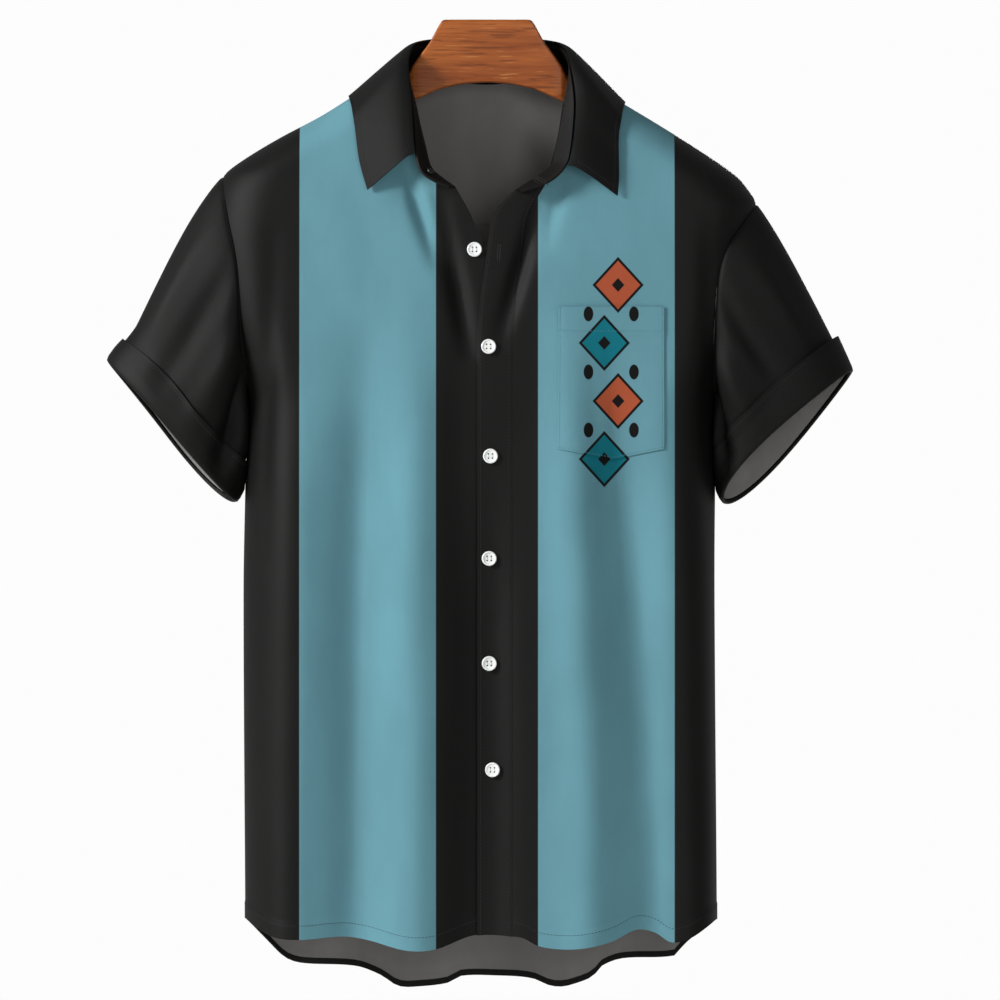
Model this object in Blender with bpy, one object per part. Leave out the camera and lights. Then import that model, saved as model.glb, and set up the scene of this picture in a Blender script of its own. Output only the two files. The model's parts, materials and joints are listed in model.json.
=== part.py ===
"""A short-sleeved bowling shirt on its wooden hanger, modelled in Blender at real size.

Frame: metres, +Z up. The origin is the middle of the hanger's flat top, where it is held.
The front of the shirt faces -Y, and +X is to the right of someone who looks at that front.

The cloth hangs from the hanger's arms. Its body is one shell: at each height below the
hanger's top (its drop, in millimetres) the shell is a flat front, a flat back and two
rounded sides. A place on the shell is (p, drop), where p runs round the ring from the
middle of the front or of the back. Each panel is a patch of that shell, filled in from its
own four edges as a pattern cutter draws it, and then made a wall.
"""

import math

import bmesh
import bpy
from mathutils import Vector
from mathutils.bvhtree import BVHTree

MM = 0.001
FRONT, BACK = -1, 1  # also the sign of y on that face
LEFT, RIGHT = -1, 1  # sides as seen from the front, also the sign of x

# Walls and gaps, in millimetres
CLOTH = 1.2
BAND = 1.8  # placket and collar, where the cloth is doubled
SEAM_GAP = 0.3
HALF_SEAM = 0.3  # each panel stops this far short of its seam, so that curved ones stay open

# The shell's half width on each side: (drop, half width)
HALF_WIDTH = {
    LEFT: ((30, 50), (43, 75), (63.5, 110.5), (85, 145), (103.5, 180), (123.5, 213), (136.6, 229),
           (160, 238), (190, 241), (237, 237), (271, 229.5), (300, 219), (332, 209), (410, 210.5),
           (500, 212), (780, 210.5), (870, 210)),
    RIGHT: ((30, 45), (48, 75), (72, 115.5), (93, 150.5), (115, 185.5), (136.6, 216.5), (150, 228),
            (161, 234), (180, 230), (200, 224), (250, 221), (300, 210), (335, 200), (410, 198.5),
            (500, 198), (780, 200), (870, 200)),
}
# How far the shell's front and back stand from the side seams' plane: (drop, depth)
DEPTH = {
    FRONT: ((30, 12), (43, 18), (60, 23), (80, 29), (110, 37), (150, 45), (200, 51), (260, 56),
            (332, 59), (500, 60), (780, 58), (870, 58)),
    BACK: ((30, 12), (43, 20), (60, 26), (80, 32), (110, 40), (150, 47), (200, 53), (260, 58),
           (332, 61), (500, 63), (800, 66), (870, 66)),
}
CORNER = 50  # radius of the rounded sides, in x
CORNER_SHARE = 0.45  # its most, as a share of the half width, near the neck

# Hanging folds: (x high up, x at the hem, spread, height outwards, drop where it begins)
FOLDS = {
    FRONT: ((-165, -172, 24, 5, 240), (-108, -114, 22, -8, 210), (-62, -62, 24, 7, 190),
            (2, 2, 22, -7, 320), (72, 88, 22, 6, 200), (112, 146, 24, -8, 250),
            (172, 184, 22, 4, 290)),
    BACK: ((-160, -168, 26, 5, 260), (-105, -118, 26, -7, 230), (-50, -58, 26, 6, 230),
           (4, 0, 24, -6, 260), (58, 64, 26, 6, 220), (112, 122, 26, -7, 250),
           (165, 172, 24, 4, 290)),
}
FOLD_GROWTH = 230  # a fold reaches its full height this far below where it begins
FOLD_ROUND = 1.4  # how far folds go on round the sides before they fade
HEM_LEVEL = 800  # about the drop of the hems
# Drape lines that run from the neck to the first closed button:
# (x, drop) to (x, drop), spread, depth
CREASES = {
    FRONT: ((-72, 128, -44, 205, 8, 4.0), (-40, 160, -16, 285, 8, 3.5),
            (46, 160, 14, 270, 8, 4.0), (64, 140, 50, 190, 7, 2.5)),
    BACK: ((-150, 215, -60, 300, 14, 3.5), (150, 225, 62, 305, 14, 3.5)),
}
CREASE_END = 0.4  # a crease's depth at its ends, as a share of that in its middle

# The hems: (x, drop)
HEM = {
    FRONT: ((-212, 783), (-188, 799), (-164, 802), (-126, 799), (-104, 802), (-70, 811), (-45, 810),
            (-11, 798), (30, 800), (44, 807), (64, 810), (85, 809), (109, 803), (130, 793),
            (147, 796), (160, 804), (176, 801), (200, 784)),
    BACK: ((-212, 784), (-191, 807), (-177, 821), (-163, 826), (-115, 828), (-93, 836), (-78, 845.5),
           (-60, 846), (-34, 842.5), (-23, 836.5), (8, 836), (39, 838.5), (55, 845), (66, 846),
           (78, 843), (93, 836.5), (99, 828.5), (118, 821), (165, 818.5), (171, 810), (200, 785)),
}

# The armholes, as ovals round the shell's sides: top and bottom drop, and depth from the ridge
ARMHOLE = {LEFT: (137, 332), RIGHT: (161, 335)}
ARMHOLE_DEPTH = {FRONT: 45, BACK: 47}
SHOULDER_SEAM = 8  # the shoulder seam lies this far behind the ridge
YOKE_DROP = 173

# The neckline on each side, from the shoulder seam forwards: (x, drop)
NECK_POINT = {LEFT: (-75, 43), RIGHT: (75, 48)}
NECKLINE = {
    LEFT: ((-69, 54), (-63, 71), (-58, 92), (-53, 112), (-48, 130), (-38, 139), (-27.5, 147)),
    RIGHT: ((70, 58), (66, 78), (62, 100), (58, 118), (55, 128), (42, 138), (25, 149)),
}
BACK_NECK = ((-60, 47), (-33, 53), (0, 56), (33, 53), (60, 49))

# The front edges below the neck: (x, drop)
UNDER_EDGE = ((-27.5, 147), (-14, 171), (0, 208), (22.6, 289))
TOP_EDGE = ((25, 149), (5, 171), (1.5, 191), (-1, 210), (-6, 245), (-8.7, 289))
PLACKET = 31.3
PLACKET_TOP = (27, 7)  # how far its top edge runs across, and how far it rises
PLACKET_HEM, PLACKET_FIRST = 0.5, 0.02  # its end below the hem, and its first row as a share
UNDER_STEP = 2.9  # the under front lies this far behind the top front where they overlap
UNDER_FROM, UNDER_RUN = (-42, 150), (26, 40)  # where that step begins, and its run, as (x, drop)

POCKET = (61.8, 154, 251.5, 375, 9)  # left, right, top and bottom drop, depth of its point
POCKET_GAP = 0.8
BUTTONS = ((-10.9, 201.5), (1.3, 286), (3, 381), (1.7, 470), (1.7, 561.5), (5.2, 654))
BUTTON_RADIUS, BUTTON_THICK = 6.5, 2.6
BUTTON_GAP = 0.4  # between a button and the highest cloth under it
BUTTON_SIDES, HOLE_SIDES = 12, 5
HOLE_RADIUS, HOLE_OUT = 0.13, 0.3  # a button's holes, as shares of its own radius
COLLAR_BUTTON = (-50.5, 134.8, 3.6)  # x, drop and radius of the small one on the stand

# The sleeves' ends: outer and inner corner of the cuff's fold as (x, drop), half depth, and how
# far the front edge is raised and the back edge lowered along the sleeve
CUFF = {
    LEFT: ((-324, 299), (-220.5, 420), 42, -3, 9),
    RIGHT: ((317.5, 308), (208.5, 421.5), 43, 12, 10),
}
CUFF_SKEW = 0.5  # how much more the ring leaves its plane near the body than further out
SLEEVE_SWELL = {LEFT: 5, RIGHT: 1.5}  # how far the sleeve's upper side bulges outwards
CUFF_BAND = 33
CUFF_SHORT = {LEFT: 0.35, RIGHT: 0}  # how much lower the band is at its outer end, as a share
END_FLARE = {LEFT: (6, 0.8), RIGHT: (0, 0.8)}  # the sleeve's end bells out: how far, from what share

# The collar from its left end round the back to its right end. Each row is a station:
# the neck seam on the shell (face, x, drop), and the stand's top edge (x, y, drop)
COLLAR = (
    (FRONT, -27.5, 147, -33, -58, 147),
    (FRONT, -38, 139, -47, -60, 141.5),
    (FRONT, -48, 130, -57.5, -58, 133),
    (FRONT, -53, 112, -62, -54, 117),
    (FRONT, -58, 92, -64, -47, 92),
    (FRONT, -63, 71, -66, -38, 67),
    (FRONT, -69, 54, -69, -26, 42),
    (BACK, -75, 43, -66, -6, 26),
    (BACK, -60, 47, -53, 10, 20.5),
    (BACK, -33, 53, -28, 18.5, 19.5),
    (BACK, 0, 56, 0, 21, 19),
    (BACK, 33, 53, 28, 18.5, 19.5),
    (BACK, 60, 49, 54, 10, 21),
    (BACK, 75, 48, 68, -6, 27),
    (FRONT, 70, 58, 73, -26, 45),
    (FRONT, 66, 78, 76, -38, 72),
    (FRONT, 62, 100, 75, -47, 95),
    (FRONT, 58, 118, 73, -54, 113),
    (FRONT, 55, 128, 69, -58, 128),
    (FRONT, 42, 138, 55, -60, 142),
    (FRONT, 25, 149, 30, -58, 151),
)
COLLAR_GAP = 4.2  # how far the fall's middle stays from the middle of the cloth under it
# The fall's outer edge on the shell, at the stations from the left point to the right point:
# (face, x, drop)
FALL_FIRST = 3
FALL_EDGE = (
    (FRONT, -104, 149.5), (FRONT, -111, 124), (FRONT, -114.5, 98), (FRONT, -115.5, 81),
    (BACK, -115.5, 67), (BACK, -99, 83), (BACK, -55, 90), (BACK, 0, 92), (BACK, 55, 90),
    (BACK, 98, 86), (BACK, 115, 72), (FRONT, 115.5, 84), (FRONT, 114.5, 104), (FRONT, 114.5, 124),
    (FRONT, 114.5, 140), (FRONT, 113.5, 154.4),
)

# The hanger's head: (|x|, top, bottom, half depth, rounding), and its arms, whose top lies
# under the cloth: (|x|, bottom, half depth, rounding)
HEAD = ((0, 0, 54.8, 9, 2.5), (20, 0, 56, 9, 2.5), (38.5, 0, 60, 9, 2.5), (42, 5, 61, 9, 3),
        (50, 20, 64.5, 9, 3), (60, 33, 69, 9, 3.5), (65, 40, 71.5, 8.5, 4), (69, 48.5, 73.5, 7, 4),
        (73, 58, 77, 6.5, 4.5))
ARM = ((82, 80, 8, 6), (95, 88, 11, 8), (115, 100, 15, 11), (140, 116, 18, 13), (165, 131, 20, 14),
       (190, 146, 20, 14), (205, 154, 17, 12), (212, 155, 12, 9))
ARM_CLEAR = (1.5, 8)  # the arm's crest under the middle of the cloth, at its tip and by the neck
ARM_EVEN = 90  # how far from the neck the arm takes to come that near
TIP_SUNK = 4  # how much lower its tip is
RIDGE_END = 137  # the drop at which the shoulder's ridge ends


def read(table, place):
    """The value of a table of (place, value) rows, on a smooth curve through them."""
    if place <= table[0][0]:
        return table[0][1]
    if place >= table[-1][0]:
        return table[-1][1]
    i = next(k for k in range(len(table) - 1) if place <= table[k + 1][0])
    (x0, y0), (x1, y1) = table[i], table[i + 1]
    width = x1 - x0
    chord = (y1 - y0) / width
    before = chord if i == 0 else (y1 - table[i - 1][1]) / (x1 - table[i - 1][0])
    after = chord if i + 2 == len(table) else (table[i + 2][1] - y0) / (table[i + 2][0] - x0)
    f = (place - x0) / width
    g = 1 - f
    return (y0 * g * g * (1 + 2 * f) + y1 * f * f * (1 + 2 * g)
            + width * f * g * (before * g - after * f))


def ease(f):
    """0 below 0, 1 above 1, smooth between."""
    f = min(max(f, 0), 1)
    return f * f * (3 - 2 * f)


def ring(face, drop, side):
    """The half width, corner radius, depth and quarter's length of the shell at a drop."""
    wide = read(HALF_WIDTH[side], drop)
    corner = min(CORNER, CORNER_SHARE * wide)
    depth = read(DEPTH[face], drop)
    quarter = math.pi / 2 * math.sqrt((corner ** 2 + depth ** 2) / 2)
    return wide, corner, depth, quarter


def side_seam(face, drop, side):
    """p of the side seam, or above the armhole of the shoulder's ridge."""
    wide, corner, _, quarter = ring(face, drop, side)
    return wide - corner + quarter


def place_of(face, x, drop):
    """p of the point of the shell with this x."""
    side = RIGHT if x > 0 else LEFT
    wide, corner, _, quarter = ring(face, drop, side)
    past = abs(x) - (wide - corner)
    if past <= 0:
        return x
    turn = math.asin(min(past / corner, 1)) / (math.pi / 2)
    return side * (wide - corner + turn * quarter)


def relief(face, x, drop):
    """How far folds and creases lift the cloth outwards."""
    lift = 0
    for high, low, spread, height, begins in FOLDS[face]:
        grown = ease((drop - begins) / FOLD_GROWTH)
        centre = high + (low - high) * ease((drop - begins) / (HEM_LEVEL - begins))
        lift += height * grown * math.exp(-((x - centre) / spread) ** 2)
    for x0, drop0, x1, drop1, spread, depth in CREASES[face]:
        along_x, along_z = x1 - x0, drop1 - drop0
        length2 = along_x ** 2 + along_z ** 2
        f = ((x - x0) * along_x + (drop - drop0) * along_z) / length2
        f = min(max(f, 0), 1)
        away2 = (x - x0 - f * along_x) ** 2 + (drop - drop0 - f * along_z) ** 2
        deep = depth * (CREASE_END + (1 - CREASE_END) * math.sin(math.pi * f))
        lift -= deep * math.exp(-away2 / spread ** 2)
    return lift


def shell(face, p, drop, out=0.0):
    """The point of the shell at (p, drop), moved outwards by out. Past the ridge it goes on
    round the other face."""
    side = RIGHT if p > 0 else LEFT
    wide, corner, depth, quarter = ring(face, drop, side)
    flat = wide - corner
    if abs(p) <= flat:
        x, y, nx, ny = abs(p), depth, 0.0, 1.0
    else:
        turn = (abs(p) - flat) / quarter * math.pi / 2
        if turn > math.pi / 2:
            depth = read(DEPTH[-face], drop)
        x, y = flat + corner * math.sin(turn), depth * math.cos(turn)
        nx, ny = depth * math.sin(turn), corner * math.cos(turn)
        size = math.hypot(nx, ny)
        nx, ny = nx / size, ny / size
    out += relief(face, side * x, drop) * ease(ny * FOLD_ROUND)
    return Vector((side * (x + nx * out), face * (y + ny * out), -drop)) * MM


def armhole(side, angle):
    """(face, p, drop) of the armhole. The angle is 0 on the ridge, positive at the front,
    negative at the back, and 180 under the arm, in degrees."""
    top, bottom = ARMHOLE[side]
    face = FRONT if angle >= 0 else BACK
    turned = math.radians(abs(angle))
    drop = (top + bottom) / 2 - (bottom - top) / 2 * math.cos(turned)
    wide, corner, depth, quarter = ring(face, drop, side)
    reach = min(ARMHOLE_DEPTH[face] * math.sin(turned) / depth, 0.98)
    turn = math.acos(reach) / (math.pi / 2)
    return face, side * (wide - corner + turn * quarter), drop


def armhole_point(side, angle):
    return shell(*armhole(side, angle))


def through(points, shares):
    """Points along a smooth curve through the given ones, at shares of its length."""
    lengths = [0.0]
    for a, b in zip(points, points[1:]):
        lengths.append(lengths[-1] + math.dist(a, b))
    columns = [[(length / lengths[-1], point[axis]) for length, point in zip(lengths, points)]
               for axis in range(len(points[0]))]
    return [tuple(read(column, share) for column in columns) for share in shares]


def steps(first, last, count):
    return [first + (last - first) * i / count for i in range(count + 1)]


def shares_of(points):
    lengths = [0.0]
    for a, b in zip(points, points[1:]):
        lengths.append(lengths[-1] + math.dist(a, b))
    return [length / lengths[-1] for length in lengths]


def ruled(top_edge, bottom_edge, share):
    """The straight lines from one edge's points to the other's, read at a share."""
    return [tuple(a[k] + (b[k] - a[k]) * share for k in range(2))
            for a, b in zip(top_edge, bottom_edge)]


def patch(top_edge, bottom_edge, shares, first_edge=None, last_edge=None):
    """Fills a panel with columns from its top edge to its bottom edge, all lists of (p, drop).
    Where a side edge is given, the columns near it bend to follow it."""
    last = len(top_edge) - 1
    rows = []
    for i, share in enumerate(shares):
        row = ruled(top_edge, bottom_edge, share)
        for edge, end in ((first_edge, 0), (last_edge, last)):
            if edge is None:
                continue
            bend = tuple(edge[i][k] - row[end][k] for k in range(2))
            for j in range(last + 1):
                near = max(1 - abs(j - end) / (SIDE_REACH * last), 0) ** SIDE_FADE
                row[j] = tuple(row[j][k] + bend[k] * near for k in range(2))
        rows.append(row)
    return rows


def material(name, colour, roughness):
    made = bpy.data.materials.new(name)
    made.use_nodes = True
    shader = made.node_tree.nodes["Principled BSDF"]
    shader.inputs["Base Color"].default_value = (*colour, 1)
    shader.inputs["Roughness"].default_value = roughness
    return made


def place(name, bm, finish, smooth=40):
    """Makes the bmesh an object."""
    mesh = bpy.data.meshes.new(name)
    bm.to_mesh(mesh)
    bm.free()
    mesh.shade_smooth()
    mesh.set_sharp_from_angle(angle=math.radians(smooth))
    mesh.materials.append(finish)
    made = bpy.data.objects.new(name, mesh)
    bpy.context.collection.objects.link(made)
    return made


def sheet(rows, closed=False):
    """A bmesh of one grid of points; closed joins each row's end to its start."""
    bm = bmesh.new()
    grid = [[bm.verts.new(point) for point in row] for row in rows]
    wide = len(rows[0])
    for upper, lower in zip(grid, grid[1:]):
        for j in range(wide if closed else wide - 1):
            k = (j + 1) % wide
            bm.faces.new((upper[j], lower[j], lower[k], upper[k]))
    bm.normal_update()
    return bm


def wall(name, rows, thick, finish, closed=False, outwards=None):
    """A sheet of points made a wall of cloth, half its thickness to each side. The function
    outwards gives the way an open sheet's faces have to look at a point."""
    bm = sheet(rows, closed)
    if outwards is not None:
        facing = sum(face.normal.dot(outwards(face.calc_center_median())) for face in bm.faces)
        if facing < 0:
            bmesh.ops.reverse_faces(bm, faces=bm.faces)
    made = place(name, bm, finish)
    thicken = made.modifiers.new("cloth", "SOLIDIFY")
    thicken.thickness = thick * MM
    thicken.offset = 0
    thicken.use_even_offset = True
    return made


def from_axis(point):
    """The direction away from the shirt's middle line."""
    return Vector((point.x * 0.3, point.y, 0))


# --- the shirt's own edges ---------------------------------------------------------------

ARM_START = 8  # the front panel begins this many degrees behind the ridge
ARM_SHARE = 0.35  # share of the rows that lie beside the armhole
SIDE_REACH, SIDE_FADE = 0.6, 1.5  # share of the columns that follow a side edge, and how fast less
SHOULDER_COLUMNS, NECK_COLUMNS, OPEN_COLUMNS = 10, 7, 6
ROWS = [0, 0.006, 0.014, 0.024, 0.038, 0.058, 0.085, 0.12, 0.165, 0.22, 0.28]
ROWS += steps(ARM_SHARE, 1, 15)


def arm_angles():
    """The armhole's angles at the front panel's rows."""
    return [-ARM_START + (180 + ARM_START) * share / ARM_SHARE
            for share in ROWS if share <= ARM_SHARE]


def front_place(side, angle):
    """(p, drop) of the armhole in the front's own measure, also just behind the ridge."""
    face, p, drop = armhole(side, angle)
    if face == FRONT:
        return p, drop
    quarter_front = ring(FRONT, drop, side)[3]
    wide, corner, _, quarter = ring(BACK, drop, side)
    turn = (abs(p) - (wide - corner)) / quarter
    return side * (wide - corner + (2 - turn) * quarter_front), drop


def hem_end(face, side):
    """The drop of the hem at a side seam."""
    return HEM[face][0 if side == LEFT else -1][1]


def front_side(side):
    """The front's edge down the armhole and the side seam."""
    edge = [front_place(side, angle) for angle in arm_angles()]
    under = edge[-1][1]
    for share in ROWS:
        if share > ARM_SHARE:
            down = hem_end(FRONT, side) - under
            drop = under + down * (share - ARM_SHARE) / (1 - ARM_SHARE)
            edge.append((side * side_seam(FRONT, drop, side), drop))
    return [(p - side * HALF_SEAM, drop) for p, drop in edge]


def shoulder(face, side):
    """The shoulder seam from the armhole to the neck point, in one face's own measure."""
    past = SHOULDER_SEAM if face == FRONT else -SHOULDER_SEAM - 4 * HALF_SEAM
    tip = front_side(side)[0][1]
    ridge = [(side_seam(FRONT, drop, side), drop) for drop in steps(tip, NECK_POINT[side][1], 40)]
    return [(side * (side_seam(face, drop, side) + past), drop)
            for _, drop in through(ridge, steps(0, 1, SHOULDER_COLUMNS))]


def front_top(side, edge):
    """The front's shoulder seam and neckline, and its open edge from the neckline down."""
    seam = shoulder(FRONT, side)
    first = edge[0]
    between = [knot for knot in NECKLINE[side] if abs(knot[0]) > abs(first[0]) + 2]
    line = through([NECK_POINT[side], *between, first], steps(0, 1, NECK_COLUMNS))
    line += through(edge, steps(0, 1, OPEN_COLUMNS))[1:]
    return seam + [(place_of(FRONT, x, drop), drop) for x, drop in line[1:]]


def front_hem(side, count, centre):
    """The front's hem, evenly from the side seam to the centre edge."""
    drop = hem_end(FRONT, side)
    seam = side * (side_seam(FRONT, drop, side) - HALF_SEAM)
    places = steps(seam, centre, count)
    return [(p, read(HEM[FRONT], shell(FRONT, p, drop).x / MM)) for p in places]


def front_panel(side, edge):
    """The rows of (p, drop) of one front, whose open edge runs down from the neckline."""
    top = front_top(side, edge)
    bottom = front_hem(side, len(top) - 1, edge[-1][0])
    return patch(top, bottom, ROWS, first_edge=front_side(side))


def under_front():
    """The wearer's right front. Its edge lies under the placket."""
    points = []
    for row in front_panel(LEFT, UNDER_EDGE):
        points.append([])
        for p, drop in row:
            across, down = (ease((value - start) / run)
                            for value, start, run in zip((p, drop), UNDER_FROM, UNDER_RUN))
            points[-1].append(shell(FRONT, p, drop, -UNDER_STEP * (across * down)))
    return points


def placket_edge(shift):
    """The top front's open edge, moved this far towards the placket's seam."""
    (x, drop), (run, rise) = TOP_EDGE[0], PLACKET_TOP
    first = (x + run * shift / PLACKET, drop - rise * shift / PLACKET)
    return [first] + [(x + shift, drop) for x, drop in TOP_EDGE[1:]]


def top_front():
    """The wearer's left front, as far as the placket's seam."""
    rows = front_panel(RIGHT, placket_edge(PLACKET + SEAM_GAP))
    return [[shell(FRONT, p, drop) for p, drop in row] for row in rows]


def placket():
    """The band down the top front's edge."""
    columns = []
    for shift in steps(0, PLACKET, 3):
        edge = placket_edge(shift)
        column = through(edge, steps(0, 1, OPEN_COLUMNS))
        x, open_end = edge[-1]
        hem = read(HEM[FRONT], x) + PLACKET_HEM
        column += [(x, open_end + (hem - open_end) * share)
                   for share in ROWS if share > PLACKET_FIRST]
        columns.append([shell(FRONT, x, drop) for x, drop in column])
    return columns


BACK_COLUMNS, BACK_ARM_ROWS, BACK_SIDE_ROWS = 21, 7, 15
YOKE_ROWS = (0, 0.08, 0.2, 0.38, 0.65, 1)


def back_angles(side):
    """The armhole's angles at the yoke's rows, and at the back's rows."""
    top, bottom = ARMHOLE[side]
    seam = math.degrees(math.acos(((top + bottom) / 2 - YOKE_DROP) * 2 / (bottom - top)))
    high = [-ARM_START - 1 - (seam - ARM_START - 1) * share for share in YOKE_ROWS]
    return high, steps(-seam, -180, BACK_ARM_ROWS)


def back_edge(side, angles):
    edge = [armhole(side, angle)[1:] for angle in angles]
    return [(p - side * HALF_SEAM, drop) for p, drop in edge]


def yoke():
    """The back yoke, between the shoulder seams, the back neck and the yoke seam."""
    left = back_edge(LEFT, back_angles(LEFT)[0])
    right = back_edge(RIGHT, back_angles(RIGHT)[0])
    knots = [NECK_POINT[LEFT], *BACK_NECK, NECK_POINT[RIGHT]]
    neck = [(place_of(BACK, x, drop), drop) for x, drop in through(knots, steps(0, 1, 8))]
    seams = {}
    for side, corner in ((LEFT, left[0]), (RIGHT, right[0])):
        seams[side] = shoulder(BACK, side)[::2]
        seams[side][0] = corner
    top = seams[LEFT] + neck[1:-1] + seams[RIGHT][::-1]
    bottom = [(left[-1][0] + (right[-1][0] - left[-1][0]) * share, YOKE_DROP)
              for share in shares_of(top)]
    rows = patch(top, bottom, YOKE_ROWS, left, right)
    return [[shell(BACK, p, drop) for p, drop in row] for row in rows]


def back():
    """The back, from the yoke seam to the hem."""
    edges = {}
    for side in (LEFT, RIGHT):
        edge = back_edge(side, back_angles(side)[1])
        for drop in steps(edge[-1][1], hem_end(BACK, side), BACK_SIDE_ROWS)[1:]:
            edge.append((side * (side_seam(BACK, drop, side) - HALF_SEAM), drop))
        edge[0] = (edge[0][0], YOKE_DROP + 2 * HALF_SEAM)
        edges[side] = edge
    first, last = edges[LEFT][0][0], edges[RIGHT][0][0]
    top = [(p, YOKE_DROP + 2 * HALF_SEAM) for p in steps(first, last, BACK_COLUMNS)]
    bottom = []
    for p in steps(edges[LEFT][-1][0], edges[RIGHT][-1][0], BACK_COLUMNS):
        x = shell(BACK, p, HEM_LEVEL).x / MM
        bottom.append((p, read(HEM[BACK], x)))
    rows = patch(top, bottom, shares_of(edges[LEFT]), edges[LEFT], edges[RIGHT])
    return [[shell(BACK, p, drop) for p, drop in row] for row in rows]


# --- sleeves and cuffs -------------------------------------------------------------------

SLEEVE_ROWS = (0, 0.07, 0.16, 0.28, 0.42, 0.56, 0.7, 0.8, 0.9)
SLEEVE_SET = (1.0, 1.4)  # how far it starts outside the armhole: at the top, and more below
SLEEVE_LIFT, SLEEVE_FULL = 3, 6  # how far it bulges upwards, and to the front and the back
DEGREE_LONG = 1.1  # about how long a degree is round the sleeve, in millimetres
HEM_LIP = 3.4  # the cuff's inner edge, up from its fold
# Drape on the sleeves: (angle, share along) to (angle, share along), spread in mm, depth
SLEEVE_CREASES = {
    LEFT: ((110, 0.15, 60, 0.8, 9, 4), (-95, 0.1, -70, 0.8, 10, 4)),
    RIGHT: ((125, 0.2, 70, 0.85, 9, 5), (-95, 0.1, -70, 0.8, 10, 4)),
}


def cuff_point(side, angle):
    """A point of the ring at the sleeve's very end."""
    (x0, drop0), (x1, drop1), depth, raised, lowered = CUFF[side]
    outer, inner = Vector((x0, 0, -drop0)), Vector((x1, 0, -drop1))
    middle, reach = (outer + inner) / 2, (outer - inner) / 2
    along = Vector((0, side, 0)).cross(reach).normalized()
    if along.z > 0:
        along = -along
    turned = math.radians(angle)
    shift = -raised if angle > 0 else lowered
    return (middle + reach * math.cos(turned) - Vector((0, depth * math.sin(turned), 0))
            + along * shift * abs(math.sin(turned)) * (1 - CUFF_SKEW * math.cos(turned))) * MM


def sleeve_bare(side, angle, share):
    start = armhole_point(side, angle)
    low = (1 - math.cos(math.radians(angle))) / 2
    start.x += side * (SLEEVE_SET[0] + SLEEVE_SET[1] * low) * MM
    end = cuff_point(side, angle)
    point = start.lerp(end, share)
    full = math.sin(math.pi * min(share * 1.25, 1) ** 0.7)  # most a third down, none at the cuff
    top = max(math.cos(math.radians(angle)), 0)
    point.x += side * full * (SLEEVE_SWELL[side] * top) * MM
    point.z += full * (SLEEVE_LIFT * top) * MM
    point.y -= full * SLEEVE_FULL * math.sin(math.radians(angle)) * MM
    flare, begins = END_FLARE[side]
    point.x += side * flare * top ** 2 * ease((share - begins) / (1 - begins)) * MM
    return point


def sleeve_normal(side, angle, share):
    step, turn = 0.02, 3
    low, high = max(share - step, 0), min(share + step, 1)
    along = sleeve_bare(side, angle, high) - sleeve_bare(side, angle, low)
    round_ = sleeve_bare(side, angle + turn, share) - sleeve_bare(side, angle - turn, share)
    normal = round_.cross(along).normalized()
    return normal if side == RIGHT else -normal


def sleeve_point(side, angle, share, out=0.0):
    """A point of the sleeve, with its creases, moved outwards by out."""
    for angle0, share0, angle1, share1, spread, depth in SLEEVE_CREASES[side]:
        f = (share - share0) / (share1 - share0)
        if 0 < f < 1:
            away = (angle - angle0 - f * (angle1 - angle0)) * DEGREE_LONG
            out -= depth * math.sin(math.pi * f) * math.exp(-(away / spread) ** 2)
    return sleeve_bare(side, angle, share) + sleeve_normal(side, angle, share) * out * MM


def sleeve_angles(side):
    """Angles all round the armhole, matching the panels' points there."""
    high, low = back_angles(side)
    behind = high[1:] + low[1:-1]
    return arm_angles() + behind[::-1]


def sleeve_length(side, angle):
    return (cuff_point(side, angle) - armhole_point(side, angle)).length / MM


def sleeve(side):
    rows = []
    for share in SLEEVE_ROWS + (None,):
        row = []
        for angle in sleeve_angles(side):
            end = 1 - (HEM_LIP + 2 * SEAM_GAP) / sleeve_length(side, angle)
            row.append(sleeve_point(side, angle, end if share is None else share * end))
        rows.append(row)
    return rows


# A turned-up cuff's section: (height above the fold, distance out from the sleeve's middle).
# It goes down the outside, round the fold, to the lip that meets the sleeve's edge, and back
# up between the sleeve and the band
CUFF_SECTION = (
    (33, 3.3), (24, 3.7), (13, 3.8), (4, 3.5), (0.8, 2.7), (0, 1.3), (0.3, 0), (1.2, -0.6),
    (3.4, -0.6), (3.4, 0.6), (4, 2), (13, 2.6), (24, 2.6), (33, 2.2),
)
CUFF_FLARE = {LEFT: 0, RIGHT: 3}  # how far the band's outer corner stands away
CUFF_OUTSIDE = 0.9  # what lies further out than this in the section is the band, and leans


def band_share(height, tall):
    """How much lower a point of the section lies where the band is lower."""
    return 1 + (tall - 1) * ease((height - HEM_LIP) / (CUFF_BAND - HEM_LIP))


def cuff(side, name, finish):
    bm = bmesh.new()
    rings = []
    for angle in sleeve_angles(side):
        length = sleeve_length(side, angle)
        flare = CUFF_FLARE[side] * ease(math.cos(math.radians(angle)) * 1.6 - 0.6)
        tall = 1 - CUFF_SHORT[side] * max(math.cos(math.radians(angle)), 0) ** 2
        section = []
        for height, out in CUFF_SECTION:
            lean = flare * (height / CUFF_BAND) ** 1.5 if out > CUFF_OUTSIDE else 0
            section.append(bm.verts.new(
                sleeve_point(side, angle, 1 - height * band_share(height, tall) / length,
                             out + lean)))
        rings.append(section)
    count = len(CUFF_SECTION)
    for this, following in zip(rings, rings[1:] + rings[:1]):
        for k in range(count):
            m = (k + 1) % count
            bm.faces.new((this[k], this[m], following[m], following[k]))
    bm.normal_update()
    if bm.calc_volume(signed=True) < 0:
        bmesh.ops.reverse_faces(bm, faces=bm.faces)
    return place(name, bm, finish)


# --- the collar --------------------------------------------------------------------------

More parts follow.
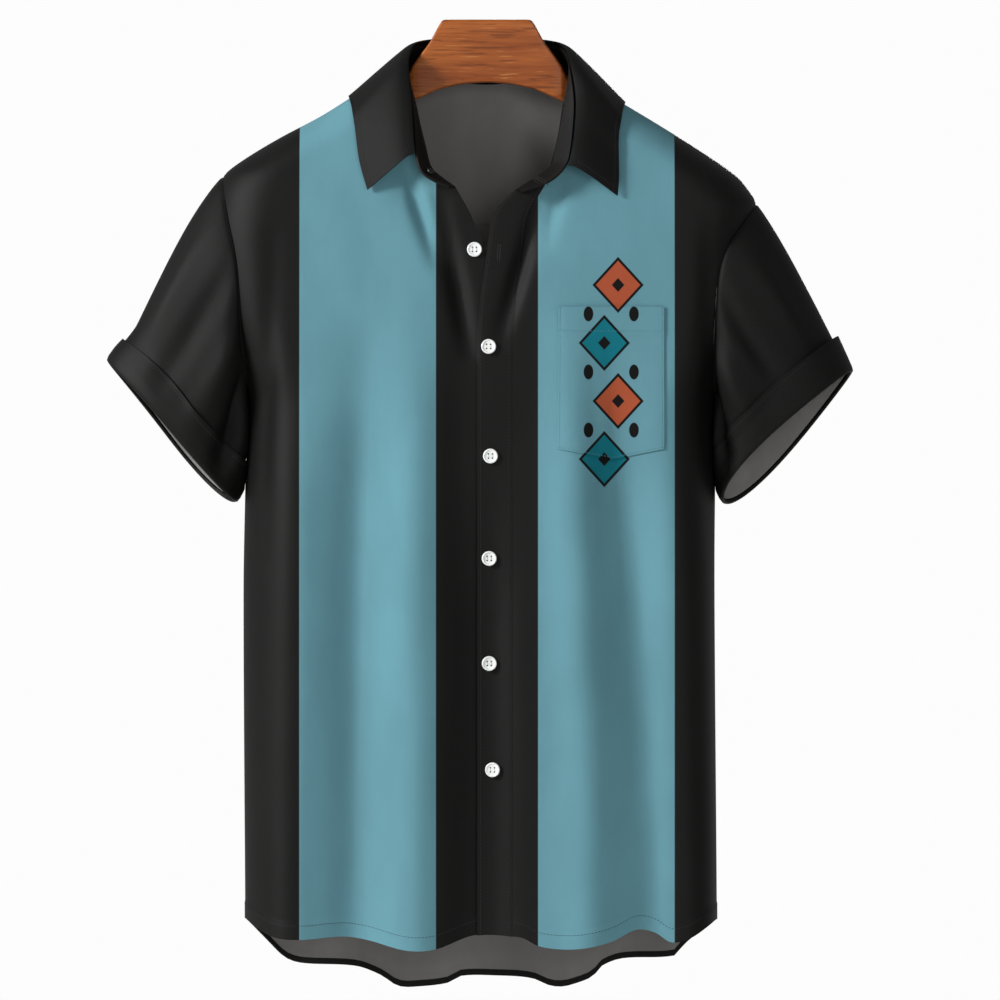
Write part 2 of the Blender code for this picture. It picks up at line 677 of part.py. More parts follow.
STAND_STEPS, FALL_STEPS = 2, 3  # columns between two stations
STAND_START = 2  # the stand's edge clears the neckline by the walls' own thickness
STAND_ROWS = (0, 0.35, 0.7, 1)
FALL_ROWS = (0, 0.03, 0.08, 0.18, 0.36, 0.57, 0.78, 1)
ROLL_START, ROLL_OUT, ROLL_ARCH = 2.5, 3, 3.5  # the fall's roll: above the stand, out, and its arch
CLEAR_OUT, CLEAR_UP, CLEAR_TRIES = 0.25, 0.35, 80  # small moves that bring the fall clear


def smooth_stations(rows, first, last, count):
    """Points on a smooth curve through the stations, this many from each to the next."""
    columns = [[(i, row[axis]) for i, row in enumerate(rows)] for axis in range(3)]
    places = [first + k / count for k in range((last - first) * count + 1)]
    return [Vector(tuple(read(column, at) for column in columns)) for at in places]


def neck_seam():
    return [shell(face, place_of(face, x, drop), drop) for face, x, drop, *top in COLLAR]


def stand_top():
    return [Vector((x, y, -drop)) * MM for *seam, x, y, drop in COLLAR]


def collar_stand():
    seam = smooth_stations(neck_seam(), 0, len(COLLAR) - 1, STAND_STEPS)
    top = smooth_stations(stand_top(), 0, len(COLLAR) - 1, STAND_STEPS)
    rows = []
    for share in STAND_ROWS:
        row = []
        for low, high in zip(seam, top):
            up = (high - low).normalized()
            row.append((low + up * (STAND_START * MM)).lerp(high, share))
        rows.append(row)
    return rows


def lifted_clear(point, gap):
    """The point, moved up and outwards until it is this far outside the shell."""
    face = BACK if point.y > 0 else FRONT
    side = RIGHT if point.x > 0 else LEFT
    point = point / MM
    for _ in range(CLEAR_TRIES):
        wide, corner, depth, _ = ring(face, -point.z, side)
        past = max(abs(point.x) - (wide - corner), 0) / (corner + gap)
        if math.hypot(past, point.y / (depth + gap)) >= 1:
            break
        point += Vector((0, face * CLEAR_OUT, CLEAR_UP))
    return point * MM


def collar_fall():
    last = FALL_FIRST + len(FALL_EDGE) - 1
    roll = smooth_stations(stand_top(), FALL_FIRST, last, FALL_STEPS)
    seam = smooth_stations(neck_seam(), FALL_FIRST, last, FALL_STEPS)
    laid = [shell(face, place_of(face, x, drop), drop, COLLAR_GAP) for face, x, drop in FALL_EDGE]
    edge = smooth_stations(laid, 0, len(laid) - 1, FALL_STEPS)
    rows = []
    for share in FALL_ROWS:
        row = []
        for high, low, sewn in zip(roll, edge, seam):
            away = Vector((low.x - high.x, low.y - high.y, 0)).normalized()
            up = (high - sewn).normalized()
            start = high + up * ROLL_START * MM
            arch = math.sin(math.pi * share ** 0.55)
            turned = away * ROLL_OUT * min(share / 0.06, 1) * (1 - share) + up * ROLL_ARCH * arch
            point = start.lerp(low, share) + turned * MM
            row.append(lifted_clear(point, COLLAR_GAP) if share > 0.2 else point)
        rows.append(row)
    return rows


def away_from_neck(point):
    return Vector((point.x, point.y, 0.3))


# --- what lies on the fronts -------------------------------------------------------------


def laid_on(surface, x, drop, out=0.0):
    """The point over (x, drop) on a sheet, moved forwards by out, and the way it faces."""
    hit = surface.ray_cast(Vector((x * MM, -0.5, -drop * MM)), Vector((0, 1, 0)))
    point, normal = hit[0], hit[1]
    if normal.y > 0:
        normal = -normal
    return point + normal * out * MM, normal


def above(surface, x, drop, radius, gap):
    """Where a disc lies over (x, drop) this far from the highest cloth under it."""
    point, normal = laid_on(surface, x, drop)
    highest = 0.0
    for k in range(16):
        turn = k * math.tau / 16
        rim = laid_on(surface, x + radius * math.cos(turn), drop + radius * math.sin(turn))[0]
        highest = max(highest, (rim - point).dot(normal))
    return point + normal * (highest + gap * MM), normal


def pocket(surface):
    left, right, top, bottom, point = POCKET
    middle, half = (left + right) / 2, (right - left) / 2
    rows = []
    for share in steps(0, 1, 10):
        row = []
        for x in steps(left, right, 8):
            low = bottom + point * (1 - abs(x - middle) / half)
            row.append(laid_on(surface, x, top + (low - top) * share, CLOTH + POCKET_GAP)[0])
        rows.append(row)
    return rows


def button(name, radius, point, normal, finish):
    """A round button with a raised rim and four holes, its back towards the cloth."""
    bm = bmesh.new()
    profile = ((0, 0), (0.85, 0), (1, 0.3), (1, 0.85), (0.82, 1), (0.66, 0.7), (0, 0.7))
    for across, up in profile:
        bm.verts.new((across * radius * MM, 0, up * BUTTON_THICK * radius / BUTTON_RADIUS * MM))
    bm.verts.ensure_lookup_table()
    for a, b in zip(bm.verts[:], bm.verts[1:]):
        bm.edges.new((a, b))
    bmesh.ops.spin(bm, geom=bm.verts[:] + bm.edges[:], axis=(0, 0, 1), cent=(0, 0, 0),
                   steps=BUTTON_SIDES, angle=math.tau, use_merge=True)
    bmesh.ops.remove_doubles(bm, verts=bm.verts, dist=0.00001)
    bmesh.ops.recalc_face_normals(bm, faces=bm.faces)
    made = place(name, bm, finish)
    holes = bmesh.new()
    for k in range(4):
        turn = math.pi / 4 + k * math.pi / 2
        hole = HOLE_RADIUS * radius * MM
        cut = bmesh.ops.create_cone(holes, cap_ends=True, segments=HOLE_SIDES, radius1=hole,
                                    radius2=hole, depth=20 * MM)
        bmesh.ops.translate(holes, verts=cut["verts"], vec=Vector(
            (math.cos(turn), math.sin(turn), 0)) * HOLE_OUT * radius * MM)
    cutter = place(name + "_holes", holes, finish)
    cutter.hide_render = True
    cutter.display_type = "WIRE"
    cutter.parent = made
    cut = made.modifiers.new("holes", "BOOLEAN")
    cut.operation = "DIFFERENCE"
    cut.object = cutter
    made.rotation_euler = normal.to_track_quat("Z", "Y").to_euler()
    made.location = point
    return made


# --- the hanger --------------------------------------------------------------------------


def ridge_drop(side, x):
    """The drop of the shoulder's ridge at a distance from the middle."""
    rows = tuple((wide, drop) for drop, wide in HALF_WIDTH[side] if drop <= RIDGE_END)
    return read(rows, x)


def hanger(finish):
    bm = bmesh.new()
    stations = []
    for side in (LEFT, RIGHT):
        arm = [(side * x, top, bottom, depth, rounding) for x, top, bottom, depth, rounding in HEAD]
        for x, bottom, depth, rounding in ARM:
            sunk = TIP_SUNK if x == ARM[-1][0] else 0
            near = 1 - ease((x - ARM[0][0]) / ARM_EVEN)
            clear = ARM_CLEAR[0] + (ARM_CLEAR[1] - ARM_CLEAR[0]) * near
            arm.append((side * x, ridge_drop(side, x) + clear + sunk, bottom, depth, rounding))
        stations += arm[::-1] if side == LEFT else arm[1:]
    rings = []
    for x, top, bottom, depth, rounding in stations:
        section = []
        for sy, sz, start in ((1, 1, 0), (-1, 1, 90), (-1, -1, 180), (1, -1, 270)):
            for degrees in (0, 30, 60, 90):
                turn = math.radians(start + degrees)
                y = sy * (depth - rounding) + rounding * math.cos(turn)
                middle = -top - rounding if sz > 0 else -bottom + rounding
                section.append(bm.verts.new(Vector((x, y, middle + rounding * math.sin(turn))) * MM))
        rings.append(section)
    count = len(rings[0])
    for this, following in zip(rings, rings[1:]):
        for k in range(count):
            m = (k + 1) % count
            bm.faces.new((this[k], following[k], following[m], this[m]))
    bm.faces.new(rings[0])
    bm.faces.new(rings[-1][::-1])
    bm.normal_update()
    if bm.calc_volume(signed=True) < 0:
        bmesh.ops.reverse_faces(bm, faces=bm.faces)
    return place("hanger", bm, finish, smooth=30)


def main():
    for old in list(bpy.data.objects):
        bpy.data.objects.remove(old)

    black = material("black_cloth", (0.02, 0.02, 0.021), 0.85)
    blue = material("blue_cloth", (0.115, 0.29, 0.345), 0.85)
    white = material("button_white", (0.75, 0.75, 0.74), 0.35)
    wood = material("hanger_wood", (0.3, 0.085, 0.03), 0.4)

    top_points = top_front()
    under_points = under_front()
    placket_points = placket()
    wall("front_right", under_points, CLOTH, blue, outwards=from_axis)
    wall("front_left", top_points, CLOTH, blue, outwards=from_axis)
    wall("placket", placket_points, BAND, black, outwards=from_axis)
    wall("yoke", yoke(), CLOTH, black, outwards=from_axis)
    wall("back", back(), CLOTH, black, outwards=from_axis)
    for side, name in ((LEFT, "right"), (RIGHT, "left")):
        wall("sleeve_" + name, sleeve(side), CLOTH, black, closed=True)
        cuff(side, "cuff_" + name, black)
    stand_points = collar_stand()
    wall("collar_stand", stand_points, BAND, black, outwards=away_from_neck)
    wall("collar_fall", collar_fall(), BAND, black, outwards=away_from_neck)

    top_surface = BVHTree.FromBMesh(sheet(top_points))
    under_surface = BVHTree.FromBMesh(sheet(under_points))
    placket_surface = BVHTree.FromBMesh(sheet(placket_points))
    wall("pocket", pocket(top_surface), CLOTH, blue, outwards=from_axis)
    for number, (x, drop) in enumerate(BUTTONS, 1):
        surface, thick = (under_surface, CLOTH) if number == 1 else (placket_surface, BAND)
        point, normal = above(surface, x, drop, BUTTON_RADIUS, thick / 2 + BUTTON_GAP)
        button(f"button_{number}", BUTTON_RADIUS, point, normal, white)
    x, drop, radius = COLLAR_BUTTON
    stand_surface = BVHTree.FromBMesh(sheet(stand_points))
    point, normal = above(stand_surface, x, drop, radius, BAND / 2 + BUTTON_GAP)
    button("button_collar", radius, point, normal, black)
    hanger(wood)


main()
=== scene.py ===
# %% [markdown]
# A bowling shirt on its wooden hanger, dressed over a plain model of the same pieces.
# Every piece of cloth is made here as it is sewn: a panel first gets its own edges on one
# shell that hangs from the hanger's arms, then a fine grid fills it, and a thin wall gives
# it an outer and an inner side. The colours, the weave and the wood come from shader nodes.
# Lengths are in millimetres until a point is made; a drop is how far something lies below
# the hanger's flat top. The front faces -Y.

# %% Tools and the fixed frame
import json
import math

import bmesh
import bpy
from mathutils import Matrix, Vector, noise
from mathutils.bvhtree import BVHTree

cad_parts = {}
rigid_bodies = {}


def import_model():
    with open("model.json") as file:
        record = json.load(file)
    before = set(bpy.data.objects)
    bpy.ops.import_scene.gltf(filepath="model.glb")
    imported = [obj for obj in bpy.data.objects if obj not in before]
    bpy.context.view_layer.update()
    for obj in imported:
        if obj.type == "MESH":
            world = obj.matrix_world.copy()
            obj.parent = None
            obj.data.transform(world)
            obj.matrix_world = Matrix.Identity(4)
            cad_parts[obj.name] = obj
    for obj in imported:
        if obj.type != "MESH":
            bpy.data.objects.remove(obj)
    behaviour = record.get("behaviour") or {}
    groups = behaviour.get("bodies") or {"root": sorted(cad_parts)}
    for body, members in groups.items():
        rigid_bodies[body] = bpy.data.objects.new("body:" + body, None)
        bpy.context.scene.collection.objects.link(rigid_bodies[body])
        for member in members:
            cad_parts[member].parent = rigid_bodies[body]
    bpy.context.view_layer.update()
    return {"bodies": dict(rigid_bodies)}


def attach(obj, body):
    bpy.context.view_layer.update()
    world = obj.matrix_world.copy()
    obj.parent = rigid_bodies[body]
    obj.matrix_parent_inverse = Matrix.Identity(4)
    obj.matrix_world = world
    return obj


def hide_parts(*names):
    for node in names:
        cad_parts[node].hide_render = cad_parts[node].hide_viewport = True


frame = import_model()
BODY = next(iter(frame["bodies"]))
MM = 0.001
FRONT, BACK = -1, 1  # also the sign of y on that face
LEFT, RIGHT = -1, 1  # as seen from the front, also the sign of x

# %% [markdown]
# A garment's outline is a set of soft curves through a few measured places. A smooth curve
# through the rows of a small table says the same thing in numbers, and it is easy to change
# one measure later. The helpers below read such tables and share out points along a line.

# %% Curves through tables
LEAST = 1e-9  # keeps two points at one place from stopping a division


def read(table, place):
    """The value of a table of (place, value) rows, on a smooth curve through them."""
    if place <= table[0][0]:
        return table[0][1]
    if place >= table[-1][0]:
        return table[-1][1]
    i = next(k for k in range(len(table) - 1) if place <= table[k + 1][0])
    (x0, y0), (x1, y1) = table[i], table[i + 1]
    width = x1 - x0
    chord = (y1 - y0) / width
    before = chord if i == 0 else (y1 - table[i - 1][1]) / (x1 - table[i - 1][0])
    after = chord if i + 2 == len(table) else (table[i + 2][1] - y0) / (table[i + 2][0] - x0)
    f = (place - x0) / width
    g = 1 - f
    return (y0 * g * g * (1 + 2 * f) + y1 * f * f * (1 + 2 * g)
            + width * f * g * (before * g - after * f))


def ease(f):
    """0 below 0, 1 above 1, smooth between."""
    f = min(max(f, 0), 1)
    return f * f * (3 - 2 * f)


def steps(first, last, count):
    """Evenly spaced numbers from first to last, both among them."""
    return [first + (last - first) * i / count for i in range(count + 1)]


def shares_of(points):
    """How far along the line each of its points lies, from 0 to 1."""
    lengths = [0.0]
    for a, b in zip(points, points[1:]):
        lengths.append(lengths[-1] + math.dist(a, b))
    return [length / lengths[-1] for length in lengths]


def through(points, shares):
    """Points along a smooth curve through the given ones, at shares of its length."""
    places = shares_of(points)
    columns = [[(place, point[axis]) for place, point in zip(places, points)]
               for axis in range(len(points[0]))]
    return [tuple(read(column, share) for column in columns) for share in shares]


def along(points, shares):
    """The same on straight lines between the points."""
    places = shares_of(points)
    found = []
    for share in shares:
        i = next((k for k in range(len(places) - 2) if share <= places[k + 1]), len(places) - 2)
        f = (share - places[i]) / max(places[i + 1] - places[i], LEAST)
        found.append(tuple(a + (b - a) * f for a, b in zip(points[i], points[i + 1])))
    return found


print("halfway between 1 and 3 on a curve:", read(((0, 1), (1, 3)), 0.5))

# %% [markdown]
# Cloth on a hanger takes the shape of a flat tube: wide at the arms, narrow at the neck, and
# nearly the same from the armholes to the hem. One way is to simulate the cloth, but then its
# outline can't be set. Here the tube is written down instead: its half width and its depth at
# each drop, with an elliptic corner at each side. A place on it is (p, drop), where p goes
# round the tube from the middle of the front or of the back, as a tape measure would.

# %% The shell that the cloth hangs in
HALF_WIDTH = {
    LEFT: ((30, 50), (43, 75), (63.5, 110.5), (85, 145), (103.5, 180), (123.5, 213), (136.6, 229),
           (160, 238), (190, 241), (237, 237), (271, 229.5), (300, 219), (332, 209), (410, 210.5),
           (500, 212), (780, 210.5), (870, 210)),
    RIGHT: ((30, 45), (48, 75), (72, 115.5), (93, 150.5), (115, 185.5), (136.6, 216.5), (150, 228),
            (161, 234), (180, 230), (200, 224), (250, 221), (300, 210), (335, 200), (410, 198.5),
            (500, 198), (780, 200), (870, 200)),
}
DEPTH = {
    FRONT: ((30, 12), (43, 18), (60, 23), (80, 29), (110, 37), (150, 45), (200, 51), (260, 56),
            (332, 59), (500, 60), (780, 58), (870, 58)),
    BACK: ((30, 12), (43, 20), (60, 26), (80, 32), (110, 40), (150, 47), (200, 53), (260, 58),
           (332, 61), (500, 63), (800, 66), (870, 66)),
}
CORNER, CORNER_SHARE = 50, 0.45  # the sides' rounding, and at most this share of the half width
CHEST = 400  # a drop below the arms


def ring(face, drop, side):
    """The half width, corner radius, depth and quarter's length of the shell at a drop."""
    wide = read(HALF_WIDTH[side], drop)
    corner = min(CORNER, CORNER_SHARE * wide)
    depth = read(DEPTH[face], drop)
    quarter = math.pi / 2 * math.sqrt((corner ** 2 + depth ** 2) / 2)
    return wide, corner, depth, quarter


def side_seam(face, drop, side):
    """p of the side seam, or above the armhole of the shoulder's ridge."""
    wide, corner, _, quarter = ring(face, drop, side)
    return wide - corner + quarter


def place_of(face, x, drop):
    """p of the point of the shell with this x."""
    side = RIGHT if x > 0 else LEFT
    wide, corner, _, quarter = ring(face, drop, side)
    past = abs(x) - (wide - corner)
    if past <= 0:
        return x
    turn = math.asin(min(past / corner, 1)) / (math.pi / 2)
    return side * (wide - corner + turn * quarter)


print("round the chest, half of it:",
      round(side_seam(FRONT, CHEST, LEFT) + side_seam(FRONT, CHEST, RIGHT)), "mm")

# %% [markdown]
# Gravity makes two kinds of fold. Long soft ones fall from the chest to the hem and grow on
# the way, and short slanted ones run from the neck to the first closed button. Each is a
# bump with the profile of a bell, so it can be added to the shell's depth. A little noise,
# stretched up and down, keeps the cloth between them from looking like plastic.

# %% Folds and creases
FOLDS = {  # (x high up, x at the hem, spread, height outwards, drop where it begins)
    FRONT: ((-165, -172, 24, 7, 240), (-108, -114, 22, -11, 205), (-62, -62, 24, 10, 190),
            (2, 2, 22, -9, 320), (72, 88, 22, 9.5, 200), (112, 146, 24, -11, 245),
            (172, 184, 22, 6, 290)),
    BACK: ((-160, -168, 26, 5, 260), (-105, -118, 26, -7, 230), (-50, -58, 26, 6, 230),
           (4, 0, 24, -6, 260), (58, 64, 26, 6, 220), (112, 122, 26, -7, 250),
           (165, 172, 24, 4, 290)),
}
FOLD_GROWTH = 230  # a fold reaches its full height this far below where it begins
FOLD_ROUND = 1.4  # how far folds go on round the sides before they fade
HEM_LEVEL = 800  # about the drop of the hems
CREASES = {  # (x, drop) to (x, drop), spread, depth
    FRONT: ((-74, 124, -44, 212, 7, 7.5), (-40, 160, -16, 290, 8, 7.5),
            (46, 160, 12, 275, 8, 7.5), (66, 136, 50, 195, 8, 5.5),
            (-186, 190, -196, 470, 9, 3), (192, 170, 198, 460, 10, 3.5)),
    BACK: ((-150, 215, -60, 300, 14, 3.5), (150, 225, 62, 305, 14, 3.5),
           (-26, 66, -18, 225, 12, 3), (24, 70, 32, 240, 12, 3)),
}
CREASE_END = 0.4  # a crease's depth at its ends, as a share of that in its middle
CRUMPLES = ((62, 0.55), (23, 0.2))  # (size across, height)
CRUMPLE_LONG = 0.4  # how much slower they change downwards
CRUMPLE_APART = 7.0  # gives the front and the back noise of their own
CRUMPLE_FROM, CRUMPLE_RUN = 120, 90  # the drop where they begin, and the way on which they grow


def crumple(face, x, drop):
    """Small unevenness of worn cloth. It fades out where the hanger's arms carry the cloth."""
    apart = face * CRUMPLE_APART
    lift = sum(height * noise.noise(Vector((x / size, apart, drop / size * CRUMPLE_LONG)))
               for size, height in CRUMPLES)
    return lift * ease((drop - CRUMPLE_FROM) / CRUMPLE_RUN)


def relief(face, x, drop):
    """How far folds, creases and crumples lift the cloth outwards."""
    lift = crumple(face, x, drop)
    for high, low, spread, height, begins in FOLDS[face]:
        grown = ease((drop - begins) / FOLD_GROWTH)
        centre = high + (low - high) * ease((drop - begins) / (HEM_LEVEL - begins))
        lift += height * grown * math.exp(-((x - centre) / spread) ** 2)
    for x0, drop0, x1, drop1, spread, depth in CREASES[face]:
        along_x, along_z = x1 - x0, drop1 - drop0
        f = ((x - x0) * along_x + (drop - drop0) * along_z) / (along_x ** 2 + along_z ** 2)
        f = min(max(f, 0), 1)
        away2 = (x - x0 - f * along_x) ** 2 + (drop - drop0 - f * along_z) ** 2
        deep = depth * (CREASE_END + (1 - CREASE_END) * math.sin(math.pi * f))
        lift -= deep * math.exp(-away2 / spread ** 2)
    return lift


def shell(face, p, drop, out=0.0):
    """The point of the shell at (p, drop), moved outwards by out. Past the ridge it goes on
    round the other face."""
    side = RIGHT if p > 0 else LEFT
    wide, corner, depth, quarter = ring(face, drop, side)
    flat = wide - corner
    if abs(p) <= flat:
        x, y, nx, ny = abs(p), depth, 0.0, 1.0
    else:
        turn = (abs(p) - flat) / quarter * math.pi / 2
        if turn > math.pi / 2:
            depth = read(DEPTH[-face], drop)
        x, y = flat + corner * math.sin(turn), depth * math.cos(turn)
        nx, ny = depth * math.sin(turn), corner * math.cos(turn)
        size = math.hypot(nx, ny)
        nx, ny = nx / size, ny / size
    out += relief(face, side * x, drop) * ease(ny * FOLD_ROUND)
    return Vector((side * (x + nx * out), face * (y + ny * out), -drop)) * MM


fold_low = FOLDS[FRONT][2][1]
print("a fold's top at the hem:", [round(c / MM) for c in shell(FRONT, fold_low, HEM_LEVEL)])

# %% [markdown]
# The edges are what a pattern cutter draws: hems with their slow waves, the armholes as
# ovals round the sides, the neckline, the shoulder seam just behind the ridge, and the two
# front edges. The fronts differ, because one lies over the other.

# %% The edges of the panels
HEM = {  # (x, drop)
    FRONT: ((-212, 783), (-188, 799), (-164, 802), (-126, 799), (-104, 802), (-70, 811), (-45, 810),
            (-11, 798), (30, 800), (44, 807), (64, 810), (85, 809), (109, 803), (130, 793),
            (147, 796), (160, 804), (176, 801), (200, 784)),
    BACK: ((-212, 784), (-191, 807), (-177, 821), (-163, 826), (-115, 828), (-93, 836), (-78, 845.5),
           (-60, 846), (-34, 842.5), (-23, 836.5), (8, 836), (39, 838.5), (55, 845), (66, 846),
           (78, 843), (93, 836.5), (99, 828.5), (118, 821), (165, 818.5), (171, 810), (200, 785)),
}
ARMHOLE = {LEFT: (137, 332), RIGHT: (161, 335)}  # top and bottom drop
ARMHOLE_DEPTH, ARM_WITHIN = {FRONT: 45, BACK: 47}, 0.98  # at most this share of the shell's
SHOULDER_SEAM = 8  # behind the ridge
YOKE_DROP = 173
HALF_SEAM = 0.12  # each panel stops this far short of its seam
NECK_POINT = {LEFT: (-75, 43), RIGHT: (75, 48)}  # where the shoulder seam meets the neckline
NECK_APART = 2  # the neckline's last knot is at least this far from the open edge
NECKLINE = {
    LEFT: ((-69, 54), (-63, 71), (-58, 92), (-53, 112), (-48, 130), (-38, 139), (-27.5, 147)),
    RIGHT: ((70.3, 58), (65.6, 78), (62, 100), (58, 118), (55, 128), (42, 138), (25, 149)),
}
BACK_NECK = ((-60, 47), (-33, 53), (0, 56), (33, 53), (60, 49))
UNDER_EDGE = ((-27.5, 147), (-14, 171), (0, 208), (22.6, 289))
TOP_EDGE = ((25, 149), (5, 171), (1.5, 191), (-1, 210), (-6, 245), (-8.7, 289))
PLACKET = 31.3  # the band's width
PLACKET_TOP = (27, 7)  # how far its top edge runs across, and how far it rises
UNDER_STEP = 2.9  # the under front lies this far behind the top front where they overlap
UNDER_FROM, UNDER_RUN = (-42, 150), (26, 40)  # where that step begins, and its run, as (x, drop)
SHOULDER_COLUMNS, NECK_COLUMNS, OPEN_COLUMNS = 34, 20, 16
RIDGE_STEPS = 40
ARM_START = 8  # the front panel begins this many degrees behind the ridge
ARM_SHARE = 0.35  # share of the rows that lie beside the armhole
SIDE_REACH, SIDE_FADE = 0.47, 1.5  # share of the columns that follow a side edge; how fast less
ARM_ROWS, ARM_CLOSE = 40, 1.7  # and how much closer the rows lie at the top
BODY_ROWS, BODY_END = 74, 0.97  # even rows down to this share
HEM_SHARES = (0.975, 0.978, 0.982, 0.9885, 0.9945, 1)  # and closer ones at the hem
ROWS = [ARM_SHARE * (k / ARM_ROWS) ** ARM_CLOSE for k in range(ARM_ROWS)]
ROWS += steps(ARM_SHARE, BODY_END, BODY_ROWS) + list(HEM_SHARES)


def armhole(side, angle):
    """(face, p, drop) of the armhole. The angle is 0 on the ridge, positive at the front,
    negative at the back, and 180 under the arm, in degrees."""
    top, bottom = ARMHOLE[side]
    face = FRONT if angle >= 0 else BACK
    turned = math.radians(abs(angle))
    drop = (top + bottom) / 2 - (bottom - top) / 2 * math.cos(turned)
    wide, corner, depth, quarter = ring(face, drop, side)
    reach = min(ARMHOLE_DEPTH[face] * math.sin(turned) / depth, ARM_WITHIN)
    turn = math.acos(reach) / (math.pi / 2)
    return face, side * (wide - corner + turn * quarter), drop


def front_place(side, angle):
    """(p, drop) of the armhole in the front's own measure, also just behind the ridge."""
    face, p, drop = armhole(side, angle)
    if face == FRONT:
        return p, drop
    quarter_front = ring(FRONT, drop, side)[3]
    wide, corner, _, quarter = ring(BACK, drop, side)
    turn = (abs(p) - (wide - corner)) / quarter
    return side * (wide - corner + (2 - turn) * quarter_front), drop


def hem_end(face, side):
    """The drop of the hem at the side seam."""
    return HEM[face][0 if side == LEFT else -1][1]


def front_side(side):
    """The front's edge down the armhole and the side seam."""
    edge = []
    for share in ROWS:
        if share < ARM_SHARE:
            edge.append(front_place(side, -ARM_START + (180 + ARM_START) * share / ARM_SHARE))
        else:
            under = ARMHOLE[side][1]
            drop = under + (hem_end(FRONT, side) - under) * (share - ARM_SHARE) / (1 - ARM_SHARE)
            edge.append((side * side_seam(FRONT, drop, side), drop))
    return [(p - side * HALF_SEAM, drop) for p, drop in edge]


def shoulder(face, side):
    """The shoulder seam from the armhole to the neck point, in one face's own measure."""
    past = SHOULDER_SEAM if face == FRONT else -SHOULDER_SEAM - 4 * HALF_SEAM
    tip = front_side(side)[0][1]
    ridge = [(side_seam(FRONT, drop, side), drop)
             for drop in steps(tip, NECK_POINT[side][1], RIDGE_STEPS)]
    return [(side * (side_seam(face, drop, side) + past), drop)
            for _, drop in through(ridge, steps(0, 1, SHOULDER_COLUMNS))]


def front_top(side, edge):
    """The front's shoulder seam and neckline, and its open edge from the neckline down."""
    first = edge[0]
    between = [knot for knot in NECKLINE[side] if abs(knot[0]) > abs(first[0]) + NECK_APART]
    line = through([NECK_POINT[side], *between, first], steps(0, 1, NECK_COLUMNS))
    line += through(edge, steps(0, 1, OPEN_COLUMNS))[1:]
    return shoulder(FRONT, side) + [(place_of(FRONT, x, drop), drop) for x, drop in line[1:]]


def front_hem(side, count, centre):
    """The front's hem, evenly from the side seam to the centre edge."""
    drop = hem_end(FRONT, side)
    seam = side * (side_seam(FRONT, drop, side) - HALF_SEAM)
    return [(p, read(HEM[FRONT], shell(FRONT, p, drop).x / MM))
            for p in steps(seam, centre, count)]


print("rows in a front:", len(ROWS))

# %% [markdown]
# Threads, seams and thickness make a surface read as cloth. Each sheet starts as a plain
# grid, whose points are then moved to their places, so its squares follow the weave. The
# flat measures of the cloth go in a UV map, which the weave uses later. A Solidify modifier
# gives the wall, with another finish on the inner side, where the fabric is paler.

# %% A sheet of cloth
CLOTH, BAND = 1.2, 1.8  # walls: single cloth, and doubled
TURNED, NECK_SHADE = 2, 4  # places of the hem's finish and of the neck's black strip, painted seam shade; the inner one is next
# how many rows of squares the painted seam shade at the neck covers
NECK_SHADE_SQUARES = 4
SHARP, CRISP = 50, 35  # from this angle an edge is hard: in cloth, and in wood and buttons
MERGE = 0.01 * MM
SURFACES, PIECES = {}, {}


def centred(bm):
    """Gives the direction away from a piece's own middle."""
    middle = sum((v.co for v in bm.verts), Vector()) / len(bm.verts)
    return lambda point: point - middle


def from_axis(point):
    """The direction away from the shirt's middle line."""
    return Vector((point.x * 0.3, point.y, 0))


def from_neck(point):
    """The direction away from the neck and upwards."""
    return Vector((point.x, point.y, 0.3))


def face_out(bm, outwards):
    """Turns the squares over where most of them look the other way."""
    bm.normal_update()
    if sum(face.normal.dot(outwards(face.calc_center_median())) for face in bm.faces) < 0:
        bmesh.ops.reverse_faces(bm, faces=bm.faces)
    bm.normal_update()


def finished(name, bm, finishes):
    """Makes the bmesh a piece that rides on the shirt's body."""
    mesh = bpy.data.meshes.new(name)
    bm.to_mesh(mesh)
    bm.free()
    for finish in finishes:
        mesh.materials.append(finish)
    mesh.shade_smooth()
    mesh.set_sharp_from_angle(angle=math.radians(SHARP))
    piece = bpy.data.objects.new(name, mesh)
    bpy.context.scene.collection.objects.link(piece)
    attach(piece, BODY)
    PIECES[name] = piece
    return piece


def settle(piece, sharp=SHARP):
    """Makes the result of the modifiers the piece's own mesh."""
    evaluated = piece.evaluated_get(bpy.context.evaluated_depsgraph_get())
    mesh = bpy.data.meshes.new_from_object(evaluated)
    piece.modifiers.clear()
    piece.data = mesh
    mesh.shade_smooth()
    mesh.set_sharp_from_angle(angle=math.radians(sharp))


def grid(rows, flat=None, closed=False):
    """A bmesh grid moved to the rows of points, with the flat measures as its UV map."""
    tall, wide = len(rows) - 1, len(rows[0]) - 1
    bm = bmesh.new()
    threads = bm.loops.layers.uv.new("threads")
    bmesh.ops.create_grid(bm, x_segments=wide, y_segments=tall, size=0.5)
    cell = {v: (round((0.5 - v.co.y) * tall), round((0.5 + v.co.x) * wide)) for v in bm.verts}
    for face in bm.faces:
        for loop in face.loops:
            i, j = cell[loop.vert]
            loop[threads].uv = flat[i][j] if flat else (0, 0)
    for vert, (i, j) in cell.items():
        vert.co = rows[i][j]
    if closed:
        bmesh.ops.remove_doubles(bm, verts=bm.verts, dist=MERGE)
    return bm


def measured(rows):
    """Flat measures of rows of points: along each row from its start, and down from the top."""
    down = [0.0] * len(rows[0])
    flat = []
    for i, row in enumerate(rows):
        across = [0.0]
        for a, b in zip(row, row[1:]):
            across.append(across[-1] + (b - a).length)
        if i:
            down = [d + (b - a).length for d, a, b in zip(down, rows[i - 1], row)]
        flat.append(list(zip(across, down)))
    return flat


